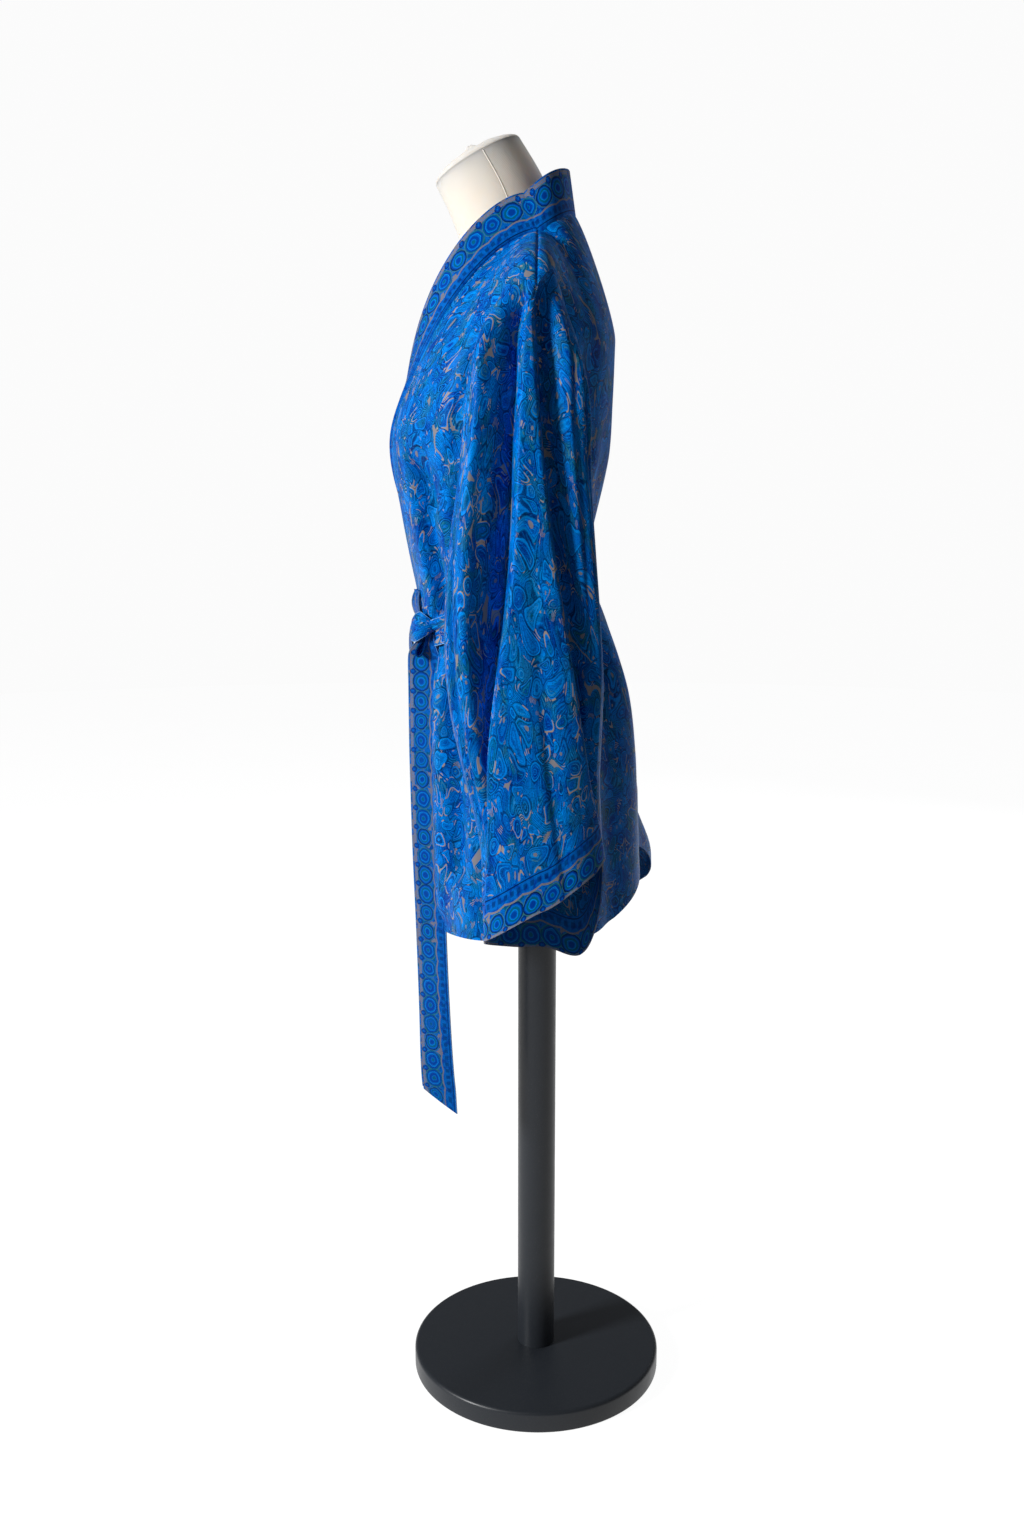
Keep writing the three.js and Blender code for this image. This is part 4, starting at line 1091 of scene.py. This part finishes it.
def front_band():
    share = np.concatenate([[0], np.linspace(0, 1, 13)])
    turned_in = np.where(np.arange(len(share)) == 0, BAND_TURNED_IN, 0)
    down = LEVELS[::-1]
    neck = np.linspace(180 - NECK_SIDE_ANGLE, 180, 40)[1:]
    level = np.concatenate([down, np.zeros_like(neck)])
    around = np.concatenate([front_edge(down), neck])
    left, right = (band_half(side, level, around, share, turned_in) for side in SIDES)
    grid = np.concatenate([left, right[:-1][::-1]])
    uv = cloth_uv(share * BAND_WIDTH, running(grid[:, :1], 0)[:, None])
    return shell("neck_band", grid, BAND_SHELL, TRIM, outward=-1, uv=uv)


# ---------------------------------------------------------------- sleeves and cuffs

# columns of the sleeves' grids, close together where their folds are
SLEEVE_AROUND = np.concatenate([
    np.linspace(-180, -100, 40, endpoint=False),
    np.linspace(-100, 100, 250),
    np.linspace(102, 178, 38),
])[None]


def sleeve_grid(side, along):
    return sleeve_point(side, SLEEVE_AROUND, along[:, None]) * np.array([side, 1, 1])


def sleeve(side):
    along = np.concatenate([np.linspace(0, 2, 40, endpoint=False), np.linspace(2, CUFF_SEAM, 80)])
    outer = sleeve_grid(side, along)
    return shell(SIDES[side] + "_sleeve", outer, SHELL, PRINT, closed=True, outward=-side)


def cuff(side):
    along = np.linspace(CUFF_SEAM, SLEEVE_END, 16)
    outer = sleeve_grid(side, along)
    across = np.linspace(0, CUFF_WIDTH, len(along))[:, None]
    uv = cloth_uv(across, running(closed_ring(outer), 1))
    name = SIDES[side] + "_cuff"
    return shell(name, outer, BAND_SHELL, TRIM, closed=True, outward=-side, uv=uv)


# ---------------------------------------------------------------- sash


def sash_waist():
    around = np.linspace(-180, 180, 300, endpoint=False)[None]
    step = np.linspace(-0.5, 0.5, 21)[:, None]
    level_span = plain_body(around, WAIST_LEVEL + 0.5) - plain_body(around, WAIST_LEVEL - 0.5)
    level = WAIST_LEVEL + step * SASH_WIDTH / np.linalg.norm(level_span, axis=-1)
    around = np.broadcast_to(around, level.shape)
    over_wrap = 1 - smooth(84, 118, np.abs(around - 12))
    stand_off = SASH_STAND_OFF + (WRAP_LIFT + BAND_PROUD) * over_wrap
    turn = np.radians(around)
    crush = 0.8 * np.sin(step * 15 + turn) + 0.5 * np.sin(step * 27 - 2 * turn)
    outer = body_point(around, level, stand_off + crush)
    uv = sash_uv(step + 0.5, running(closed_ring(outer), 1))
    return shell("sash_waist", outer, BAND_SHELL, FIELD, closed=True, uv=uv)


def tail(name, rows):
    """A hanging end of the sash: a flat ribbon through the table's rows, with a soft wave."""
    last = len(rows["x"]) - 1
    row = np.linspace(0, last, 130)[:, None]
    share = np.linspace(-0.5, 0.5, 15)
    x, y, z, width, turn = (column(rows, name, row) for name in ("x", "y", "z", "width", "turn"))
    turn = np.radians(turn)
    gathered = 1 - smooth(1, 4, row)
    wave = 1.2 * np.sin(row * 1.5 + share * 2) * smooth(0, 3, row)
    bow = 1.5 * (1 - (2 * share) ** 2) + 1.5 + wave + gathered * 2 * np.cos(share * 12)
    cut = -2 * TAIL_SLANT * share * smooth(last - 0.5, last, row)
    outer = points(
        x + width * share * np.cos(turn) + bow * np.sin(turn),
        y + width * share * np.sin(turn) - bow * np.cos(turn),
        z + cut,
    )
    middle = outer[:, [len(share) // 2]]
    uv = sash_uv(0.5 - share, running(middle, 0)[:, None])
    return shell(name, outer, BAND_SHELL, SASH, uv=uv)


KNOT = {"x": 57, "y": -134, "z": 970, "turn": 40, "half": (17, 8, 18)}
MOUTH = {"x": 77, "y": -137, "z": 953, "lean": 22, "half": (12.5, 6.8), "depth": 12}

# Folds of the knot are strips of the sash, each a row of cross lines given by their two ends.
STRIP_ENDS = ["x", "y", "z", "far_x", "far_y", "far_z"]
KNOT_FLAP = table(STRIP_ENDS, [
    [78, -116.5, 977.5, 78, -117, 975],
    [82, -124, 984.5, 82, -126, 969.5],
    [82, -131.5, 990, 81, -134.5, 964.5],
    [79, -137.5, 994, 76, -143, 959.5],
    [70, -143, 992, 67, -147.5, 958.5],
    [52, -146.5, 989, 50, -151, 960],
    [36, -145, 985, 38, -149, 966],
])
KNOT_LOOP = table(STRIP_ENDS, [
    [64, -137, 984, 38, -145, 986],
    [66, -139.5, 993, 34, -149, 994],
    [66, -141, 1002, 33, -151, 1003],
    [66, -141.5, 1011, 33, -149.5, 1012],
    [64, -140, 1017, 34, -146, 1018],
    [64, -138.5, 1010, 34, -146, 1010],
    [63, -136.5, 998, 36, -144.5, 998],
    [62, -135.5, 988, 38, -142.5, 988],
])
KNOT_TAIL_END = table(STRIP_ENDS, [
    [58, -144, 988, 36, -146, 988],
    [59, -147.5, 977, 32, -150.5, 977],
    [57, -149.3, 966, 26, -153, 966],
    [50, -148, 954, 18, -154, 954],
    [46, -146, 944, 14, -154, 944],
])


def strip(name, rows, crown, materials=SASH):
    """A fold of the sash: a strip over the table's cross lines, raised in its middle."""
    row = np.linspace(0, len(rows["x"]) - 1, 60)[:, None]
    share = np.linspace(0, 1, 15)
    x, y, z, *far = (column(rows, name, row) for name in STRIP_ENDS)
    grid = mix(points(x, y, z), points(*far), share[:, None])
    normal = unit(np.cross(np.gradient(grid, axis=0), np.gradient(grid, axis=1)))
    puff = crown * (1 - (2 * share - 1) ** 2) + 0.4 * np.sin(share * 14 + row)
    grid = grid + normal * puff[..., None]
    middle = grid[:, [len(share) // 2]]
    uv = sash_uv(share, running(middle, 0)[:, None])
    return shell(name, grid, BAND_SHELL, materials, uv=uv)


def knot_core():
    """The tight middle of the knot, where the sash crosses itself: a soft lump with folds."""
    down = np.linspace(0.04, np.pi - 0.04, 48)[:, None]
    turn = full_turn(72)
    long, thick, high = KNOT["half"]
    size = power(np.sin(down), 0.8) * (1 + 0.05 * np.sin(3 * turn + 2.2 * down) * np.sin(down))
    along, out = long * size * np.cos(turn), thick * size * np.sin(turn)
    up = high * np.cos(down)
    heading = math.radians(KNOT["turn"])
    grid = points(
        KNOT["x"] + along * math.cos(heading) + out * math.sin(heading),
        KNOT["y"] + along * math.sin(heading) - out * math.cos(heading),
        KNOT["z"] + up,
    )
    widest = closed_ring(grid)[[len(down) // 2]]
    uv = sash_uv((up + high) / (2 * high), running(widest, 1))
    return shell("sash_knot", grid, KNOT_SHELL, SASH, closed=True, uv=uv)


def tail_mouth():
    """The drop-shaped mouth of the fold in which the long end leaves the knot."""
    turn = full_turn(64)
    inwards = np.linspace(0, 1, 16)[:, None]
    pinch = (1 - np.cos(turn)) / 2
    size = 1 - 0.5 * inwards**1.5
    long, wide = MOUTH["half"]
    along, across = size * long * np.cos(turn), size * wide * np.sin(turn) * pinch**0.7
    lean = math.radians(MOUTH["lean"])
    y = MOUTH["y"] + across * math.cos(lean) + along * math.sin(lean)
    z = MOUTH["z"] + along * math.cos(lean) - across * math.sin(lean)
    grid = points(MOUTH["x"] - 4 * (1 - pinch) - MOUTH["depth"] * inwards, y, z)
    uv = cloth_uv(inwards * 15 + 2, running(closed_ring(grid)[:1], 1))
    return shell("sash_tail_mouth", grid, BAND_SHELL, SASH, closed=True, outward=-1, uv=uv)


# ---------------------------------------------------------------- dress form and stand


def form_ring(row, angle):
    names = ("y", "z", "depth", "width", "tilt", "square")
    y, z, depth, width, tilt, square = (column(FORM_RINGS, name, row) for name in names)
    tilt, bend = np.radians(tilt), 2 / square
    forward = -depth * power(np.cos(angle), bend)
    return points(
        width * power(np.sin(angle), bend), y + forward * np.cos(tilt), z + forward * np.sin(tilt)
    )


def torso_ring(row, angle):
    """A ring of the form under the cloth: it follows the body inside both fronts."""
    around = signed(np.degrees(angle))
    under_wrap = 1 - smooth(*WRAP_ENDS, np.abs(around))
    inset = FORM_CLEAR + column(TORSO_SLACK, "slack", row) + under_wrap * (WRAP_SINK + 1)
    level = np.full_like(around, column(TORSO_SLACK, "level", row))
    normal = normal_of(plain_body, around, level)
    return plain_body(around, level) - normal * inset[..., None]


def form_torso():
    angle = full_turn(128)
    neck = [form_ring(row, angle) for row in np.linspace(0, 7, 50)]
    torso = [torso_ring(row, angle) for row in np.linspace(0, 9, 60)]
    x, y, _ = torso[-1].T
    rounding = ((0.98, 12), (0.96, 4), (0.93, 0))
    lower = [points(x * share, y * share, FORM_BOTTOM + rise) for share, rise in rounding]
    return loft("form_torso", neck + torso + lower, JERSEY)


def cap_height(share, angle):
    """The domed cap with its soft gathers and the twisted end in the middle."""
    dome = 3 * (1 - share**2) + 9 * np.sqrt(np.clip(1 - share**4, 0, 1))
    gathered = smooth(0.1, 0.35, share) * smooth(0.95, 0.5, share)
    pleats = 0.7 * np.sin(9 * angle + 2.5 * share) * gathered
    twist = 6.5 * np.exp(-((share / 0.2) ** 2)) * (1 + 0.15 * np.sin(3 * angle + 1))
    ridge = 2 * np.exp(-((np.sin(angle - 0.5) * share / 0.09) ** 2)) * np.exp(-((share / 0.3) ** 2))
    return dome + pleats + twist + ridge


def neck_cap():
    top = {name: values[0] for name, values in FORM_RINGS.items()}
    tilt = math.radians(top["tilt"])
    angle = full_turn(96)
    rings = []
    for share in np.concatenate([np.linspace(0.03, 0.96, 34), [0.985, 1.0]]):
        height = cap_height(share, angle) - 0.3
        forward = -top["depth"] * share * np.cos(angle)
        y = top["y"] + forward * math.cos(tilt) - height * math.sin(tilt)
        z = top["z"] + forward * math.sin(tilt) + height * math.cos(tilt)
        rings.append(points(top["width"] * share * np.sin(angle), y, z))
    return loft("form_cap", rings, JERSEY)


def side_piping(side):
    """The corded seam down the side of the form's neck."""
    angle = side * (np.pi / 2 + 0.12)
    path = np.array([form_ring(row, np.array(angle)) for row in np.linspace(0.05, 3.6, 40)])
    path[:, 0] -= 0.2 * side
    return tube("form_piping_" + SIDES[side], path, 0.9, PIPING)


def lathe(name, profile, materials, sides, caps=(True, True)):
    """A round solid about the Z axis from (radius, height) pairs."""
    turn = full_turn(sides)
    rings = [points(radius * np.cos(turn), radius * np.sin(turn), z) for radius, z in profile]
    return loft(name, rings, materials, caps)


def rounded(radius, height, edge):
    """Profile of a disc with rounded edges, from the middle below to the middle on top."""
    turn, small = np.linspace(0, math.pi / 2, 8), edge / 2
    low = zip(radius - small + small * np.sin(turn), small - small * np.cos(turn))
    high = zip(radius - edge + edge * np.cos(turn), height - edge + edge * np.sin(turn))
    return [(1.0, 0.0), *low, *high, (1.0, height)]


def stand_post():
    foot = BASE["height"] + POST_GAP
    heights = (foot, foot + 1, POST_TOP - POST_GAP)
    return lathe("post", [(POST_RADIUS, z) for z in heights], SATIN, 96)


# ---------------------------------------------------------------- camera, light and floor


def make_camera():
    camera = add_object("camera", bpy.data.cameras.new("camera"), (1.707, -0.0318, 1.0978))
    camera.rotation_euler = [math.radians(angle) for angle in (80, 0, 90)]
    camera.data.lens = 32.905
    camera.data.sensor_fit = "AUTO"
    camera.data.sensor_width = 36
    bpy.context.scene.camera = camera


def make_light(name, place, size, watts):
    """A soft box aimed at the middle of the jacket."""
    lamp = add_object(name, bpy.data.lights.new(name, "AREA"), place)
    lamp.data.shape = "RECTANGLE"
    lamp.data.size, lamp.data.size_y = size
    lamp.data.energy = watts
    direction = lamp.location - type(lamp.location)((0, 0, 1.05))
    lamp.rotation_euler = direction.to_track_quat("Z", "Y").to_euler()
    return lamp


def make_stage():
    """A white room: the floor and backdrop glow, and a dim sky and two soft boxes light it."""
    half, reach = 9e3, 8e3  # of the floor, and of the dome over it, in mm
    plane = points([-half, half, half, -half], [-half, -half, half, half], 0)
    floor = make_mesh("floor", plane, [[0, 1, 2, 3]], [pale_floor()])
    white = [shining(Shader("backdrop_white"), (0.0, 0.0, 0.0), 1.0, 0.967)]
    rise = np.linspace(-0.1, np.pi / 2 - 0.01, 12)
    dome = zip(reach * np.cos(rise), reach * np.sin(rise))
    backdrop = lathe("backdrop", dome, white, 48, (False, True))
    for piece in (floor, backdrop):
        piece.visible_diffuse = False
    backdrop.visible_glossy = False
    backdrop.visible_shadow = False
    world = bpy.data.worlds.new("studio")
    bpy.context.scene.world = world
    world.use_nodes = True
    sky = world.node_tree.nodes["Background"].inputs
    sky["Color"].default_value = (0.96, 0.98, 1.0, 1)
    sky["Strength"].default_value = 0.16
    make_light("key", (1.95, -3.48, 2.3), (0.8, 1.1), 255)
    rear = make_light("rear", (-2.8, 2.1, 2.1), (1.6, 1.6), 60)
    rear.visible_glossy = False
    bpy.context.scene.view_settings.view_transform = "Standard"


# ---------------------------------------------------------------- the object


def cloth(piece, width, length, held, rests_on, share=1.0):
    """Works out the area of a panel's share of the rectangle that it was cut to, and does nothing
    more.
    """
    area = None if share == 1.0 else share * width * length
    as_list(rests_on)


def build():
    make_camera()
    back = dress(back_panel(), "back")
    fronts = [dress(front_panel(side), "front_" + SIDES[side]) for side in SIDES]
    band = dress(front_band(), "front_band")
    for side, word in SIDES.items():
        arm = dress(sleeve(side), "sleeve_" + word)
        edge = dress(cuff(side), "cuff_" + word)
        cloth(arm, 0.40, 0.58, "hung", ["back"], 0.93)
        cloth(edge, 0.37, 0.046, "hung", ["sleeve_" + word])
    waist = dress(sash_waist(), "belt_waist")
    core = dress(knot_core(), "belt_knot")
    flap = dress(strip("sash_knot_flap", KNOT_FLAP, 2.5, FIELD))
    mouth = dress(tail_mouth())
    under = dress(strip("sash_knot_under", KNOT_TAIL_END, 1.5))
    loop = dress(strip("sash_loop", KNOT_LOOP, 0.5), "belt_loop")
    long_end = dress(tail("sash_tail_long", LONG_TAIL), "belt_tail_long")
    short_end = dress(tail("sash_tail_short", SHORT_TAIL), "belt_tail_short")
    cloth(back, 0.48, 0.88, "hung", ["form_body"], 0.8)
    for front in fronts:
        cloth(front, 0.29, 0.89, "hung", ["form_body"], 0.8)
    cloth(band, 0.048, 2.0, "hung", ["front_left", "front_right"])
    cloth(waist, 0.046, 0.78, "gathered", ["front_left", "back"])
    folds = ((core, 0.045, 0.07), (flap, 0.022, 0.07), (mouth, 0.04, 0.016), (under, 0.028, 0.045))
    for piece, width, length in (*folds, (loop, 0.028, 0.065)):
        cloth(piece, width, length, "folded", ["belt_waist"])
    for end, length in ((long_end, 0.57), (short_end, 0.22)):
        cloth(end, 0.046, length, "hung", ["belt_knot"])
    dress(form_torso(), "form_body")
    dress(neck_cap(), "form_neck_cap")
    for side in SIDES:
        dress(side_piping(side))
    dress(stand_post(), "stand_pole")
    dress(lathe("base", rounded(**BASE), SATIN, 160), "stand_base")
    make_stage()


build()
